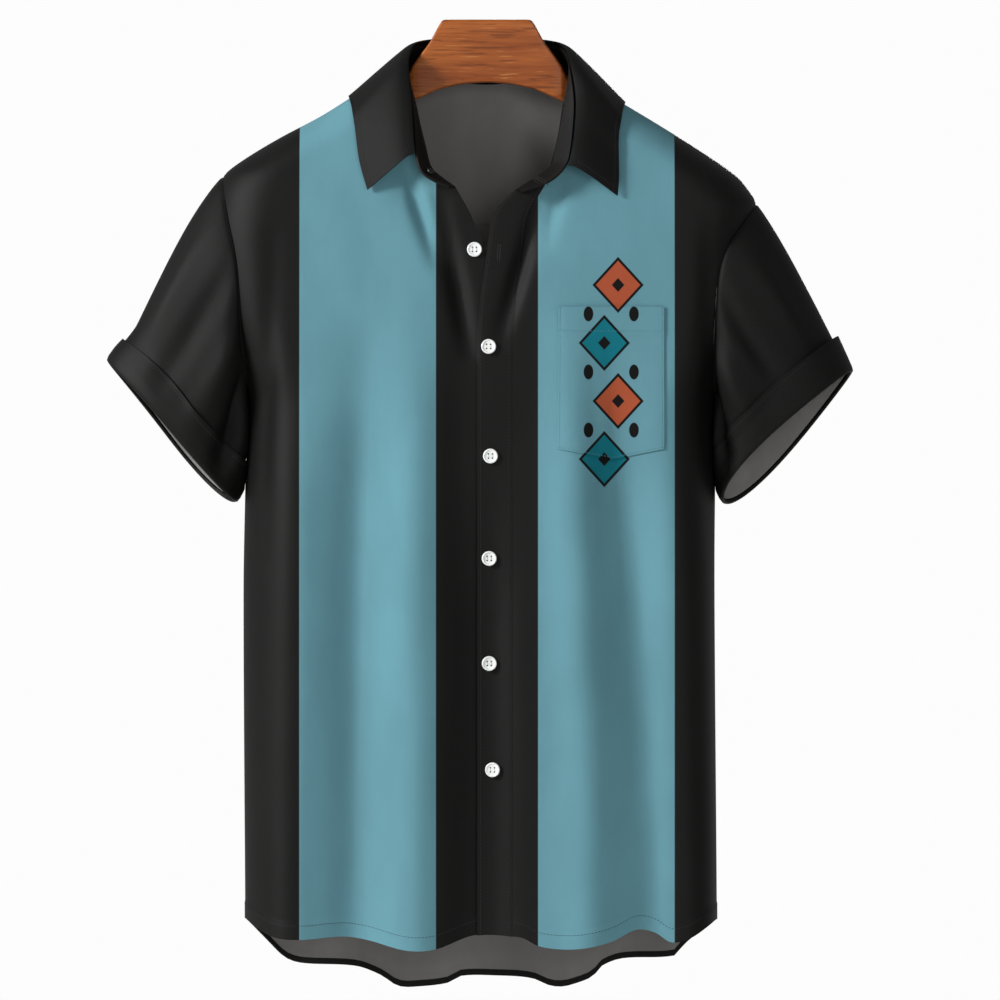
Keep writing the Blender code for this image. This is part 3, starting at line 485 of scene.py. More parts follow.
def cloth(name, rows, looks, thick=CLOTH, flat=None, closed=False, outwards=None, turned=0,
          neck_shade=None, added=False):
    """A piece of cloth through rows of points. Looks are its outer and inner finish. The lowest
    rows of squares, as many as turned says, are a turned-up hem, whose outer side shows inside.
    The given first and last column of the top rows hold a black strip, painted seam shade."""
    bm = grid(rows, flat or measured(rows), closed)
    face_out(bm, outwards or centred(bm))
    wide, squares = len(rows[0]) - 1, list(bm.faces)
    for face in squares[:turned * wide]:  # a grid counts its squares from its lower edge
        face.material_index = TURNED
    # Black squares along the top rows, between the given columns: painted seam shade at the neck
    if neck_shade:
        for k in range(1, NECK_SHADE_SQUARES + 1):
            for face in squares[-k * wide + neck_shade[0]:-k * wide + neck_shade[1]]:
                face.material_index = NECK_SHADE
    SURFACES[name] = (BVHTree.FromBMesh(bm), thick)
    outer, inner = looks
    # Slot four is black, the painted seam shade at the neck; its inner side takes the inner finish
    piece = finished(name, bm, (outer, inner, outer, outer, black, inner))
    wall = piece.modifiers.new("wall", "SOLIDIFY")
    wall.thickness = thick * MM
    wall.offset = 0
    wall.material_offset = 1
    settle(piece)
    if not added:
        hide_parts(name.removesuffix("_cloth"))
    print(name, len(piece.data.polygons), "faces")
    return piece


# %% [markdown]
# Sewing thread lies on the cloth as a row of small bright bars. A texture can draw them, but
# real ones catch the light along a seam. Each stitch here is a stretched ball of 20 faces,
# set on the nearest point of the cloth and turned along the seam.

# %% Rows of stitches
STITCH, STITCH_WIDE, PITCH = 2.2, 0.55, 3.1
STITCH_FLAT = 0.7  # its height as a share of its width
STITCH_OUT = 0.08  # its middle stands this far outside the wall


def seat(name, point):
    """The nearest place on a sheet's outer side to a point, and the way it faces."""
    tree, thick = SURFACES[name]
    hit = tree.find_nearest(point)
    return hit[0] + hit[1] * (thick / 2 + STITCH_OUT) * MM, hit[1]


def bar(bm, a, b, normal, wide):
    """One stitch from a to b."""
    run = (b - a).normalized()
    side = normal.cross(run).normalized()
    turn = Matrix((run, side, run.cross(side))).transposed().to_4x4()
    size = Matrix.Diagonal(((b - a).length, wide * MM, wide * STITCH_FLAT * MM, 1))
    bmesh.ops.create_icosphere(bm, subdivisions=1, radius=0.5,
                               matrix=Matrix.Translation((a + b) / 2) @ turn @ size)


def sew(stem, *lines, finish=None, slot="black_cloth"):
    """Rows of stitches along lines of points on a piece of cloth, as one piece."""
    bm = bmesh.new()
    count = 0
    for line in lines:
        length = sum((Vector(b) - Vector(a)).length for a, b in zip(line, line[1:])) / MM
        number = max(round(length / PITCH), 1)
        for k in range(number):
            ends = along(line, (k / number, (k + STITCH / PITCH) / number))
            (a, normal), (b, _) = (seat(f"{stem}_cloth", Vector(end)) for end in ends)
            bar(bm, a, b, normal, STITCH_WIDE)
            count += 1
    finished(f"{stem}_stitches", bm, (finish or thread,))
    print(stem, count, "stitches")


# %% [markdown]
# Shader nodes are quicker to read as sums. One small class stands for a value in a shader,
# and Python's own signs add the Math nodes. Another makes a finish and its other nodes.

# %% Sums in shaders


class Wire:
    """A value on its way through a shader."""

    def __init__(self, finish, output):
        self.finish, self.output = finish, output

    def math(self, operation, *others):
        return self.finish.node("Math", {"operation": operation},
                                dict(enumerate((self, *others))))

    def __add__(self, other):
        return self.math("ADD", other)

    def __sub__(self, other):
        return self.math("SUBTRACT", other)

    def __rsub__(self, other):
        return self.finish.node("Math", {"operation": "SUBTRACT"}, {0: other, 1: self})

    def __mul__(self, other):
        return self.math("MULTIPLY", other)

    def __truediv__(self, other):
        return self.math("DIVIDE", other)

    __radd__ = __add__

    def inside(self, low, high):
        """0 below low, 1 above high, smooth between. It falls where low is above high."""
        return self.finish.node("MapRange", {"interpolation_type": "SMOOTHSTEP"},
                                {"Value": self, "From Min": low, "From Max": high})


class Finish:
    """A material, and the one way that nodes are put in it."""

    def __init__(self, name, **sockets):
        self.material = bpy.data.materials.new(name)
        self.material.use_nodes = True
        self.tree = self.material.node_tree
        self.shader = self.tree.nodes["Principled BSDF"]
        for socket, value in sockets.items():
            self.feed(self.shader.inputs[socket.replace("_", " ")], value)

    def feed(self, socket, value):
        if isinstance(value, Wire):
            self.tree.links.new(value.output, socket)
        elif isinstance(value, tuple) and len(value) == 3 and socket.type == "RGBA":
            socket.default_value = (*value, 1)
        else:
            socket.default_value = value

    def node(self, kind, settings=None, inputs=None, output=0):
        made = self.tree.nodes.new("ShaderNode" + kind)
        for key, value in (settings or {}).items():
            setattr(made, key, value)
        for key, value in (inputs or {}).items():
            self.feed(made.inputs[key], value)
        return Wire(self, made.outputs[output])

    def place(self):
        """x, y and z on the piece, in metres."""
        split = self.node("SeparateXYZ", None, {0: self.node("TexCoord", None, None, "Object")})
        return [Wire(self, output) for output in split.output.node.outputs]

    def threads(self):
        """The cloth's flat measures, in metres."""
        split = self.node("SeparateXYZ", None, {0: self.node("TexCoord", None, None, "UV")})
        return [Wire(self, output) for output in split.output.node.outputs][:2]

    def noise(self, scale, stretch=(1, 1, 1), detail=3):
        where = self.node("Mapping", None, {
            "Vector": self.node("TexCoord", None, None, "Object"), "Scale": stretch})
        return self.node("TexNoise", None, {"Vector": where, "Scale": scale, "Detail": detail})

    def blend(self, factor, first, second):
        return self.node("Mix", {"data_type": "RGBA"}, {0: factor, 6: first, 7: second}, 2)

    def bump(self, height, depth):
        """Feeds the normal with a height from 0 to 1 that is this deep, in metres."""
        made = self.node("Bump", None, {"Height": height, "Distance": depth, "Strength": 1.0})
        self.feed(self.shader.inputs["Normal"], made)


print("signs that add nodes: + - * /")

# %% [markdown]
# The shirt is a plain weave with a dull surface: black, with one wide blue stripe down each
# front. Dye is never even, so the colour drifts a little, and the threads go over and under
# each other about every half millimetre. The inner side has fewer dyed threads and is grey.

# %% Cloth finishes
BLACK, GREY = (0.0048, 0.0044, 0.0042), (0.2, 0.195, 0.19)
BLUE = (0.106, 0.25, 0.297)
RUST, TEAL, THREAD = (0.33, 0.07, 0.03), (0.004, 0.135, 0.175), (0.03, 0.03, 0.031)
STRIPE = (0.0444, 0.1632)  # a stripe's inner and outer edge from the middle, in metres
BLUE_THREAD, WHITE_THREAD = (0.088, 0.215, 0.255), (0.6, 0.6, 0.58)
WEAVE = 2 * math.pi / 0.0011  # a thread over and one under
THREADS, FUZZ, LINT = 0.35, (420, 0.5), (90, 0.4)  # threads' share; noise's fineness and share
WEAVE_DEPTH = 0.00012  # in metres
MATT, SATIN, SHINE = 0.9, 0.52, 0.14  # roughness of blue and black cloth, specular level
SOFT_EDGE = 0.0004  # in metres, half the blur at a stripe's edge


def weave(finish):
    """Threads and fuzz in the normal of a cloth."""
    u, v = finish.threads()
    height = (u * WEAVE).math("SINE") * (v * WEAVE).math("SINE") * THREADS
    for fineness, share in (FUZZ, LINT):
        height += finish.noise(fineness) * share
    finish.bump(height, WEAVE_DEPTH)


def drift(finish, colour, spread=0.12):
    """A colour that is a little uneven."""
    dark = tuple(channel * (1 - spread) for channel in colour)
    light = tuple(channel * (1 + spread) for channel in colour)
    return finish.blend(finish.noise(28, (1, 1, 0.4), 4).inside(0.3, 0.7), dark, light)


def plain_cloth(name, colour, spread=0.12, rough=MATT):
    finish = Finish(name, Roughness=rough, Specular_IOR_Level=SHINE)
    finish.feed(finish.shader.inputs["Base Color"], drift(finish, colour, spread))
    weave(finish)
    return finish.material


def stripe_mask(finish, x):
    """1 within the blue stripe, 0 outside."""
    across = x.math("ABSOLUTE")
    return (across.inside(STRIPE[0] - SOFT_EDGE, STRIPE[0] + SOFT_EDGE)
            * across.inside(STRIPE[1] + SOFT_EDGE, STRIPE[1] - SOFT_EDGE))


MOTIF_X, MOTIF_TOP, MOTIF_TALL, MOTIF_HALF = 0.108, -0.207, 0.0505, 0.023  # in metres
MOTIF_COUNT, MOTIF_SHIFT = 4, 0.006
LOZENGE, RIM, HEART = (0.99, 0.95), (0.82, 0.86), (0.26, 0.22)  # their edges, as shares of it
DOT_OUT, DOT_WIDE, DOT_TALL, DOT = 0.86, 0.0042, 0.0065, (1.1, 0.9)  # place, half sizes, edge
ENDS, DOT_ENDS = 0.001, (0.4, 0.5)  # where the lozenges' column is cut off, and the dots'


def motif(finish, colour):
    """A column of plain lozenges down the chest, in turn rust and teal, each with a dark edge
    and a dark heart, and a dot on each side between two of them."""
    x, _, z = finish.place()
    down = (MOTIF_TOP - z) / MOTIF_TALL
    number = down.math("FLOOR")
    odd = number - (number / 2).math("FLOOR") * 2
    centred = x - MOTIF_X
    x = centred + (odd - 0.5) * 2 * MOTIF_SHIFT
    tall = ((down - number) * 2 - 1).math("ABSOLUTE")
    size = x.math("ABSOLUTE") / MOTIF_HALF + tall
    within = down.inside(-ENDS, ENDS) * down.inside(MOTIF_COUNT + ENDS, MOTIF_COUNT - ENDS)
    shape = size.inside(*LOZENGE) * within
    rim, heart = size.inside(*RIM), size.inside(*HEART)
    pip = ((centred.math("ABSOLUTE") - MOTIF_HALF * DOT_OUT) / DOT_WIDE).math("POWER", 2)
    pip = pip + ((1 - tall) * MOTIF_TALL / 2 / DOT_TALL).math("POWER", 2)
    dot = pip.inside(*DOT) * down.inside(*DOT_ENDS) * down.inside(
        *(MOTIF_COUNT - end for end in DOT_ENDS))
    fill = finish.blend(odd, RUST, TEAL)
    fill = finish.blend(rim.math("MAXIMUM", heart), fill, BLACK)
    colour = finish.blend(shape, colour, fill)
    return finish.blend(dot, colour, BLACK)


def striped_cloth(name, with_motif):
    finish = Finish(name, Specular_IOR_Level=SHINE)
    blue = stripe_mask(finish, finish.place()[0])
    finish.feed(finish.shader.inputs["Roughness"], blue * (MATT - SATIN) + SATIN)
    colour = finish.blend(blue, drift(finish, BLACK), drift(finish, BLUE, 0.05))
    if with_motif:
        colour = motif(finish, colour)
    finish.feed(finish.shader.inputs["Base Color"], colour)
    weave(finish)
    return finish.material


black = plain_cloth("black_weave", BLACK, rough=SATIN)
inside = plain_cloth("inner_weave", GREY, 0.08)
striped = striped_cloth("striped_weave", False)
chest = striped_cloth("striped_weave_with_lozenges", True)
thread = plain_cloth("black_thread", THREAD)
blue_thread = plain_cloth("blue_thread", BLUE_THREAD)
print("cloth finishes:", [m.name for m in (black, inside, striped, chest, thread)])

# %% [markdown]
# Shirt buttons are cast resin with a raised rim and a polished face. The hanger is varnished
# hardwood: its grain runs along the arms, drawn here by noise that is stretched in X.

# %% Button and wood finishes
WOOD_DEPTH = 0.00012  # how deep its pores are, in metres

resin = Finish("button_resin", Roughness=0.3, Coat_Weight=0.3, Subsurface_Weight=0.05)
resin.feed(resin.shader.inputs["Base Color"], resin.blend(
    resin.noise(300), (0.74, 0.74, 0.73), (0.84, 0.84, 0.82)))
# The collar's small button gets a near-black finish, as dark as it looks at the stand's end.
near_black_button_finish = Finish("near_black_button_finish", Roughness=0.35)
near_black_button_finish.feed(near_black_button_finish.shader.inputs["Base Color"], near_black_button_finish.blend(
    near_black_button_finish.noise(300), (0.01, 0.01, 0.01), (0.02, 0.019, 0.018)))
cotton = plain_cloth("white_thread", WHITE_THREAD)

wood = Finish("hanger_wood", Coat_Weight=0.06, Coat_Roughness=0.3, Specular_IOR_Level=0.25)
broad = wood.noise(30, (0.3, 1, 1.6), 4)
grain = wood.noise(120, (0.14, 1, 2.6), 6)
pores = wood.noise(420, (0.07, 1, 1.2), 2)
tone = wood.blend(broad.inside(0.3, 0.7) * 0.6 + grain.inside(0.3, 0.7) * 0.4,
                  (0.2, 0.043, 0.006), (0.37, 0.105, 0.019))
tone = wood.blend(pores.inside(0.56, 0.68) * 0.6, tone, (0.09, 0.02, 0.004))
tone = wood.blend(pores.inside(0.36, 0.3) * 0.35, tone, (0.62, 0.27, 0.08))
wood.feed(wood.shader.inputs["Base Color"], tone)
wood.feed(wood.shader.inputs["Roughness"], 0.34 + grain * 0.14)
wood.bump(pores * -1 + grain * 0.3, WOOD_DEPTH)
print("wood nodes:", len(wood.tree.nodes))

# %% [markdown]
# A front is not a rectangle: its top is the shoulder, the neckline and the open edge in one
# line, and its side is the armhole and the side seam. Straight columns run from the top to
# the hem, and those near the side bend to follow it. The wearer's right front goes under the
# other one, so its hidden part steps back.

# %% The fronts


def patch(top_edge, bottom_edge, shares, first_edge=None, last_edge=None):
    """Fills a panel with columns from its top edge to its bottom edge, all lists of (p, drop).
    Where a side edge is given, the columns near it bend to follow it."""
    last = len(top_edge) - 1
    rows = []
    for i, share in enumerate(shares):
        row = [tuple(a[k] + (b[k] - a[k]) * share for k in range(2))
               for a, b in zip(top_edge, bottom_edge)]
        for edge, end in ((first_edge, 0), (last_edge, last)):
            if edge is None:
                continue
            bend = tuple(edge[i][k] - row[end][k] for k in range(2))
            for j in range(last + 1):
                near = max(1 - abs(j - end) / (SIDE_REACH * last), 0) ** SIDE_FADE
                row[j] = tuple(row[j][k] + bend[k] * near for k in range(2))
        rows.append(row)
    return rows


HEM_LIFT, HEM_WIDE = 0.45, 14  # a turned-up hem is thicker by this, over this width
HEM_SOFT = 2.5  # and falls off over this way
HEM_SQUARES = 2  # the lowest rows of squares show their right side inside


def hem_lift(above):
    """The extra height of the cloth where the hem is turned up, this far above its edge."""
    return HEM_LIFT * ease((HEM_WIDE - above) / HEM_SOFT + 0.5)


def front_panel(side, edge):
    """The rows of (p, drop) of one front, whose open edge runs down from the neckline."""
    top = front_top(side, edge)
    bottom = front_hem(side, len(top) - 1, edge[-1][0])
    return patch(top, bottom, ROWS, first_edge=front_side(side))


def no_step(p, drop):
    """Of a panel that lies on the shell itself."""
    return 0.0


def under_step(p, drop):
    """How far behind the shell the under front lies."""
    across, down = (ease((value - start) / run)
                    for value, start, run in zip((p, drop), UNDER_FROM, UNDER_RUN))
    return UNDER_STEP * across * down


def spread_out(face, panel, back_off=no_step):
    """Points and flat measures of rows of (p, drop)."""
    hem = [drop for _, drop in panel[-1]]
    rows = [[shell(face, p, drop, hem_lift(low - drop) - back_off(p, drop))
             for (p, drop), low in zip(row, hem)] for row in panel]
    return rows, [[(p * MM, -drop * MM) for p, drop in row] for row in panel]


def placket_edge(shift):
    """The top front's open edge, moved this far towards the placket's seam."""
    (x, drop), (run, rise) = TOP_EDGE[0], PLACKET_TOP
    first = (x + run * shift / PLACKET, drop - rise * shift / PLACKET)
    return [first] + [(x + shift, drop) for x, drop in TOP_EDGE[1:]]


under_panel = front_panel(LEFT, UNDER_EDGE)
top_panel = front_panel(RIGHT, placket_edge(PLACKET + HALF_SEAM))
# The neckline's columns get the black strip of painted seam shade, where the blue panel meets the
# stand
neck_columns = (SHOULDER_COLUMNS, SHOULDER_COLUMNS + NECK_COLUMNS)
for name, panel, back_off, finish in (("right", under_panel, under_step, striped),
                                      ("left", top_panel, no_step, chest)):
    rows, flat = spread_out(FRONT, panel, back_off)
    cloth(f"front_{name}_cloth", rows, (finish, inside), flat=flat,
          outwards=from_axis, turned=HEM_SQUARES, neck_shade=neck_columns)

# %% [markdown]
# The placket is a doubled band down the open edge, with a row of stitches near each side. It
# is set beside the panel, from the same edge, so their folds go on from one to the other.

# %% The placket
PLACKET_COLUMNS = 12
PLACKET_FIRST = 6  # the first of the panels' rows that it has below its open edge
PLACKET_HEM = 0.5  # its end below the hem
PLACKET_ROLL, ROLL_SHARP = 0.5, 8  # its sides are rolled back by this, and only near its edges
columns = []
for shift in steps(0, PLACKET, PLACKET_COLUMNS):
    edge = placket_edge(shift)
    x, open_end = edge[-1]
    hem = read(HEM[FRONT], x) + PLACKET_HEM
    column = through(edge, steps(0, 1, OPEN_COLUMNS))
    column += [(x, open_end + (hem - open_end) * share) for share in ROWS[PLACKET_FIRST:]]
    rolled = PLACKET_ROLL * (1 - (1 - 2 * shift / PLACKET) ** ROLL_SHARP)
    columns.append([shell(FRONT, x, drop, rolled - PLACKET_ROLL) for x, drop in column])
placket_rows = [list(row) for row in zip(*columns)]
cloth("placket_cloth", placket_rows, (black, black), thick=BAND,
      outwards=from_axis)

# %% [markdown]
# Behind, a yoke carries the shoulders and the back hangs from it. Both are filled in the same
# way as the fronts, from the armhole's back edge, the back neck and the yoke seam.

# %% The yoke and the back
BACK_COLUMNS, YOKE_ROWS, BACK_ARM_ROWS, BACK_ROWS = 84, 16, 28, 84
YOKE_CLOSE, YOKE_PAST = 1.6, 1  # how much closer its top rows lie; degrees past the front's start
BACK_NECK_COLUMNS, BACK_END = 26, 0.965  # the back's even rows end at this share of its side


def back_angles(side):
    """The armhole's angles at the yoke's rows, and at the back's rows."""
    top, bottom = ARMHOLE[side]
    seam = math.degrees(math.acos(((top + bottom) / 2 - YOKE_DROP) * 2 / (bottom - top)))
    shares = [(k / YOKE_ROWS) ** YOKE_CLOSE for k in range(YOKE_ROWS + 1)]
    high = [-ARM_START - YOKE_PAST - (seam - ARM_START - YOKE_PAST) * share for share in shares]
    return shares, high, steps(-seam, -180, BACK_ARM_ROWS)


def back_edge(side, angles):
    """The armhole's edge at these angles, in the back's own measure."""
    return [(p - side * HALF_SEAM, drop)
            for p, drop in (armhole(side, angle)[1:] for angle in angles)]


def yoke_panel():
    """The rows of (p, drop) of the yoke."""
    left, right = (back_edge(side, back_angles(side)[1]) for side in (LEFT, RIGHT))
    knots = [NECK_POINT[LEFT], *BACK_NECK, NECK_POINT[RIGHT]]
    neck = [(place_of(BACK, x, drop), drop)
            for x, drop in through(knots, steps(0, 1, BACK_NECK_COLUMNS))]
    seams = {side: shoulder(BACK, side)[::2] for side in (LEFT, RIGHT)}
    seams[LEFT][0], seams[RIGHT][0] = left[0], right[0]
    top = seams[LEFT] + neck[1:-1] + seams[RIGHT][::-1]
    bottom = [(left[-1][0] + (right[-1][0] - left[-1][0]) * share, YOKE_DROP)
              for share in shares_of(top)]
    return patch(top, bottom, back_angles(LEFT)[0], left, right)


def back_panel():
    """The rows of (p, drop) of the back below it."""
    edges = {}
    for side in (LEFT, RIGHT):
        edge = back_edge(side, back_angles(side)[2])
        under = edge[-1][1]
        down = steps(0, BACK_END, BACK_ROWS)[1:] + list(HEM_SHARES)
        for share in down:
            drop = under + (hem_end(BACK, side) - under) * share
            edge.append((side * (side_seam(BACK, drop, side) - HALF_SEAM), drop))
        edge[0] = (edge[0][0], YOKE_DROP + 2 * HALF_SEAM)
        edges[side] = edge
    first, last = edges[LEFT][0][0], edges[RIGHT][0][0]
    top = [(p, YOKE_DROP + 2 * HALF_SEAM) for p in steps(first, last, BACK_COLUMNS)]
    bottom = [(p, read(HEM[BACK], shell(BACK, p, HEM_LEVEL).x / MM))
              for p in steps(edges[LEFT][-1][0], edges[RIGHT][-1][0], BACK_COLUMNS)]
    return patch(top, bottom, shares_of(edges[LEFT]), edges[LEFT], edges[RIGHT])


yoke_rows = [[shell(BACK, p, drop) for p, drop in row] for row in yoke_panel()]
cloth("yoke_cloth", yoke_rows, (black, inside), outwards=from_axis)
back_rows, flat = spread_out(BACK, back_panel())
cloth("back_cloth", back_rows, (black, inside), flat=flat,
      outwards=from_axis, turned=HEM_SQUARES)

# %% [markdown]
# A sewn seam has an allowance behind it, which also keeps the light out. A narrow strip is
# laid under each seam of the body, just inside the cloth.

# %% Seam allowances
TAPE, TAPE_DEEP, TAPE_HALF, TAPE_NARROW = 0.3, 0.8, 4.5, 1.8
TAPE_ENDS = (8, 3)  # the side seam's strip stops this far below the armhole and above the hem
YOKE_SHORT = 40  # the yoke seam's strip stops this far short of the sides
TAPE_STEPS, YOKE_TAPE_STEPS = 40, 60


def allowance(name, line, half=TAPE_HALF, facing=black):
    """A strip behind a seam, along places (face, p, drop)."""
    middle = [shell(face, p, drop, -TAPE_DEEP) for face, p, drop in line]
    rows = [[], [], []]
    for i, (face, p, drop) in enumerate(line):
        normal = (shell(face, p, drop, 1) - shell(face, p, drop)).normalized()
        run = middle[min(i + 1, len(line) - 1)] - middle[max(i - 1, 0)]
        side = normal.cross(run).normalized() * half * MM
        for row, shift in zip(rows, (-1, 0, 1)):
            row.append(middle[i] + side * shift)
    cloth(name, rows, (facing, facing), thick=TAPE, outwards=from_axis, added=True)


for side, name in ((LEFT, "right"), (RIGHT, "left")):
    drops = steps(ARMHOLE[side][1] + TAPE_ENDS[0], hem_end(BACK, side) - TAPE_ENDS[1], TAPE_STEPS)
    allowance(f"back_{name}_seam", [(FRONT, side * side_seam(FRONT, drop, side), drop)
                                    for drop in drops])
    allowance(f"yoke_{name}_seam", [(BACK, p + side * HALF_SEAM, drop)
                                    for p, drop in shoulder(BACK, side)[:-1]], TAPE_NARROW)
ends = [side * (side_seam(BACK, YOKE_DROP, side) - YOKE_SHORT) for side in (LEFT, RIGHT)]
low_seam = [(BACK, p, YOKE_DROP + HALF_SEAM) for p in steps(*ends, YOKE_TAPE_STEPS)]
allowance("yoke_low_seam", low_seam, facing=inside)

# %% [markdown]
# A sleeve is a tube from the armhole's oval to the cuff's ring. Each angle round the armhole
# gives a line to the ring, which swells above and sags below. Long creases run down it from
# the shoulder. The cuff is the tube's end turned up outside: a narrow closed section swept
# round the ring.

# %% Sleeves and cuffs
CUFF = {  # (x, drop) of its outer and inner end, depth, front raised by, back lowered by
    LEFT: ((-324, 299), (-220.5, 420), 42, -3, 9),
    RIGHT: ((317.5, 308), (208.5, 421.5), 43, 12, 10),
}
CUFF_BAND = 33  # the band's height
CUFF_SHORT = {LEFT: 0.35, RIGHT: 0}  # how much lower the band is at its outer end, as a share
END_FLARE = {LEFT: (6, 0.8), RIGHT: (0, 0.8)}  # the end bells out: how far, from what share
SLEEVE_SET = (0.4, 0.8)  # how far it starts outside the armhole: at the top, and more below
HEM_LIP, SLEEVE_GAP = 3.4, 0.6  # the cuff's closed end, and the gap between it and the sleeve
TUCK, TUCK_REACH, TUCK_RISE = 1.1, (4.5, 1.0), 4  # depth under the body's edge, reach, rise
SLEEVE_CREASES = {  # (angle, share) to (angle, share), spread, depth
    LEFT: ((138, 0.02, 130, 0.98, 11, 12), (112, 0.02, 96, 1.0, 11, -6.5),
           (78, 0.02, 66, 0.95, 10, 6), (46, 0.0, 38, 0.8, 11, -3), (-95, 0.1, -70, 0.8, 10, 5),
           (-140, 0.05, -130, 0.9, 13, 7)),
    RIGHT: ((142, 0.02, 134, 0.98, 10, 11), (116, 0.02, 100, 0.95, 11, -6),
            (84, 0.0, 74, 0.85, 9, 6), (50, 0.02, 42, 0.8, 11, -4), (-95, 0.1, -70, 0.8, 10, 5),
            (-140, 0.05, -130, 0.9, 13, 7)),
}
AROUND, SLEEVE_ROWS, SLEEVE_CLOSE = 108, 44, 1.3  # and how much closer the first rows lie
CUFF_SECTION = (  # (height, out), once round the band's section
    (33, 3.3), (24, 3.7), (13, 3.8), (4, 3.5), (0.8, 2.7), (0, 1.3), (0.3, 0), (1.2, -0.6),
    (3.4, -0.6), (3.4, 0.6), (4, 2), (13, 2.6), (24, 2.6), (33, 2.2), (33, 3.3),
)
CUFF_POINTS = 42
CUFF_FLARE = {LEFT: 0, RIGHT: 3}  # how far the band's outer corner stands away
CUFF_OUTSIDE = 0.9  # what lies further out than this in the section is the band, and leans
FLARE_NEAR, FLARE_RISE = (1.6, 0.6), 1.5  # only near the outer corner, and most at the band's top
CUFF_SKEW = 0.5  # how much more the ring leaves its plane below than above
SLEEVE_SWELL = {LEFT: 5, RIGHT: 1.5}  # how far the upper side bulges outwards
SLEEVE_LIFT, SLEEVE_FULL = 3, 6  # how far it bulges upwards, and to the front and the back
FULL_SOON, FULL_EARLY = 1.25, 0.7  # the bulge ends before the cuff, and most of it is early
UNDER_SAG, UNDER_LATE = 10, 1.1  # the underside sags towards the body, and most near the cuff
UNDER_CLEAR = (1.5, 4.7)  # but stays this far from it, and with the cuff on it this far
CLEAR_RUN = 0.08  # the share of the sleeve on which the one grows to the other
DEGREE_LONG = 1.1  # about how long a degree is round the sleeve, in millimetres
NEAR_SHARE, NEAR_ANGLE = 0.02, 3  # a normal is read from points this far on each side
ROUGH, ROUGH_SOON = 0.8, 1.2  # the noise's height, and how soon it ends
ROUGH_ROUND, ROUGH_ALONG = 1.5, 2.2  # its fineness
angles_round = steps(-180, 180, AROUND)


def cuff_point(side, angle):
    """A point of the ring at the sleeve's very end."""
    (x0, drop0), (x1, drop1), depth, raised, lowered = CUFF[side]
    outer, inner = Vector((x0, 0, -drop0)), Vector((x1, 0, -drop1))
    middle, reach = (outer + inner) / 2, (outer - inner) / 2
    onward = Vector((0, side, 0)).cross(reach).normalized()
    if onward.z > 0:
        onward = -onward
    turned = math.radians(angle)
    shift = -raised if angle > 0 else lowered
    return (middle + reach * math.cos(turned) - Vector((0, depth * math.sin(turned), 0))
            + onward * shift * abs(math.sin(turned)) * (1 - CUFF_SKEW * math.cos(turned))) * MM


def room_beside(side, angle, share, point):
    """How far a point under the sleeve can move before it comes too near the body."""
    x, y, height = point / MM
    wide, corner, depth, _ = ring(BACK if y > 0 else FRONT, -height, side)
    edge = wide - corner + corner * math.sqrt(max(1 - (y / depth) ** 2, 0))
    cuff_from = 1 - CUFF_BAND / sleeve_length(side, angle)
    clear, clear_cuff = UNDER_CLEAR
    clear += (clear_cuff - clear) * ease(1 - (cuff_from - share) / CLEAR_RUN)
    return max(side * x - edge - clear, 0)


def sleeve_bare(side, angle, share):
    """A point of the sleeve without its creases, at a share of the way to the cuff's end."""
    upwards, forwards = math.cos(math.radians(angle)), math.sin(math.radians(angle))
    start = shell(*armhole(side, angle))
    start.x += side * (SLEEVE_SET[0] + SLEEVE_SET[1] * ((1 - upwards) / 2)) * MM
    point = start.lerp(cuff_point(side, angle), share)
    top, under = max(upwards, 0), max(-upwards, 0) ** 2
    flare, begins = END_FLARE[side]
    point.x += side * flare * top ** 2 * ease((share - begins) / (1 - begins)) * MM
    full = math.sin(math.pi * min(share * FULL_SOON, 1) ** FULL_EARLY)
    swell = Vector((side * SLEEVE_SWELL[side] * top, -SLEEVE_FULL * forwards, SLEEVE_LIFT * top))
    point += swell * full * MM
    sag = UNDER_SAG * under * math.sin(math.pi * share ** UNDER_LATE)
    point.x -= side * min(sag, room_beside(side, angle, share, point)) * MM
    return point


def sleeve_normal(side, angle, share):
    """The way the bare sleeve faces."""
    low, high = max(share - NEAR_SHARE, 0), min(share + NEAR_SHARE, 1)
    onward = sleeve_bare(side, angle, high) - sleeve_bare(side, angle, low)
    before, after = (sleeve_bare(side, angle + turn, share) for turn in (-NEAR_ANGLE, NEAR_ANGLE))
    normal = (after - before).cross(onward).normalized()
    return normal if side == RIGHT else -normal


def sleeve_point(side, angle, share, out=0.0):
    """A point of the sleeve, with its creases, moved outwards by out."""
    for angle0, share0, angle1, share1, spread, depth in SLEEVE_CREASES[side]:
        f = (share - share0) / (share1 - share0)
        if 0 < f < 1:
            away = (angle - angle0 - f * (angle1 - angle0)) * DEGREE_LONG
            out -= depth * math.sin(math.pi * f) * math.exp(-(away / spread) ** 2)
    turned = math.radians(angle)
    x, y = math.cos(turned) * ROUGH_ROUND, math.sin(turned) * ROUGH_ROUND
    rough = noise.noise(Vector((x, y, share * ROUGH_ALONG + side)))
    out += ROUGH * rough * math.sin(math.pi * min(share * ROUGH_SOON, 1))
    return sleeve_bare(side, angle, share) + sleeve_normal(side, angle, share) * out * MM


def sleeve_length(side, angle):
    """The straight way from the armhole to the cuff's end."""
    return (cuff_point(side, angle) - shell(*armhole(side, angle))).length / MM


def tucked(side, angle, reach):
    """A place under the body's edge at the armhole, this far in from it."""
    face, p, drop = armhole(side, angle)
    turned = math.radians(abs(angle))
    from_seam = side_seam(face, drop, side) - abs(p) + reach * math.sin(turned)
    drop -= reach * math.cos(turned)
    return shell(face, side * (side_seam(face, drop, side) - from_seam), drop, -TUCK)


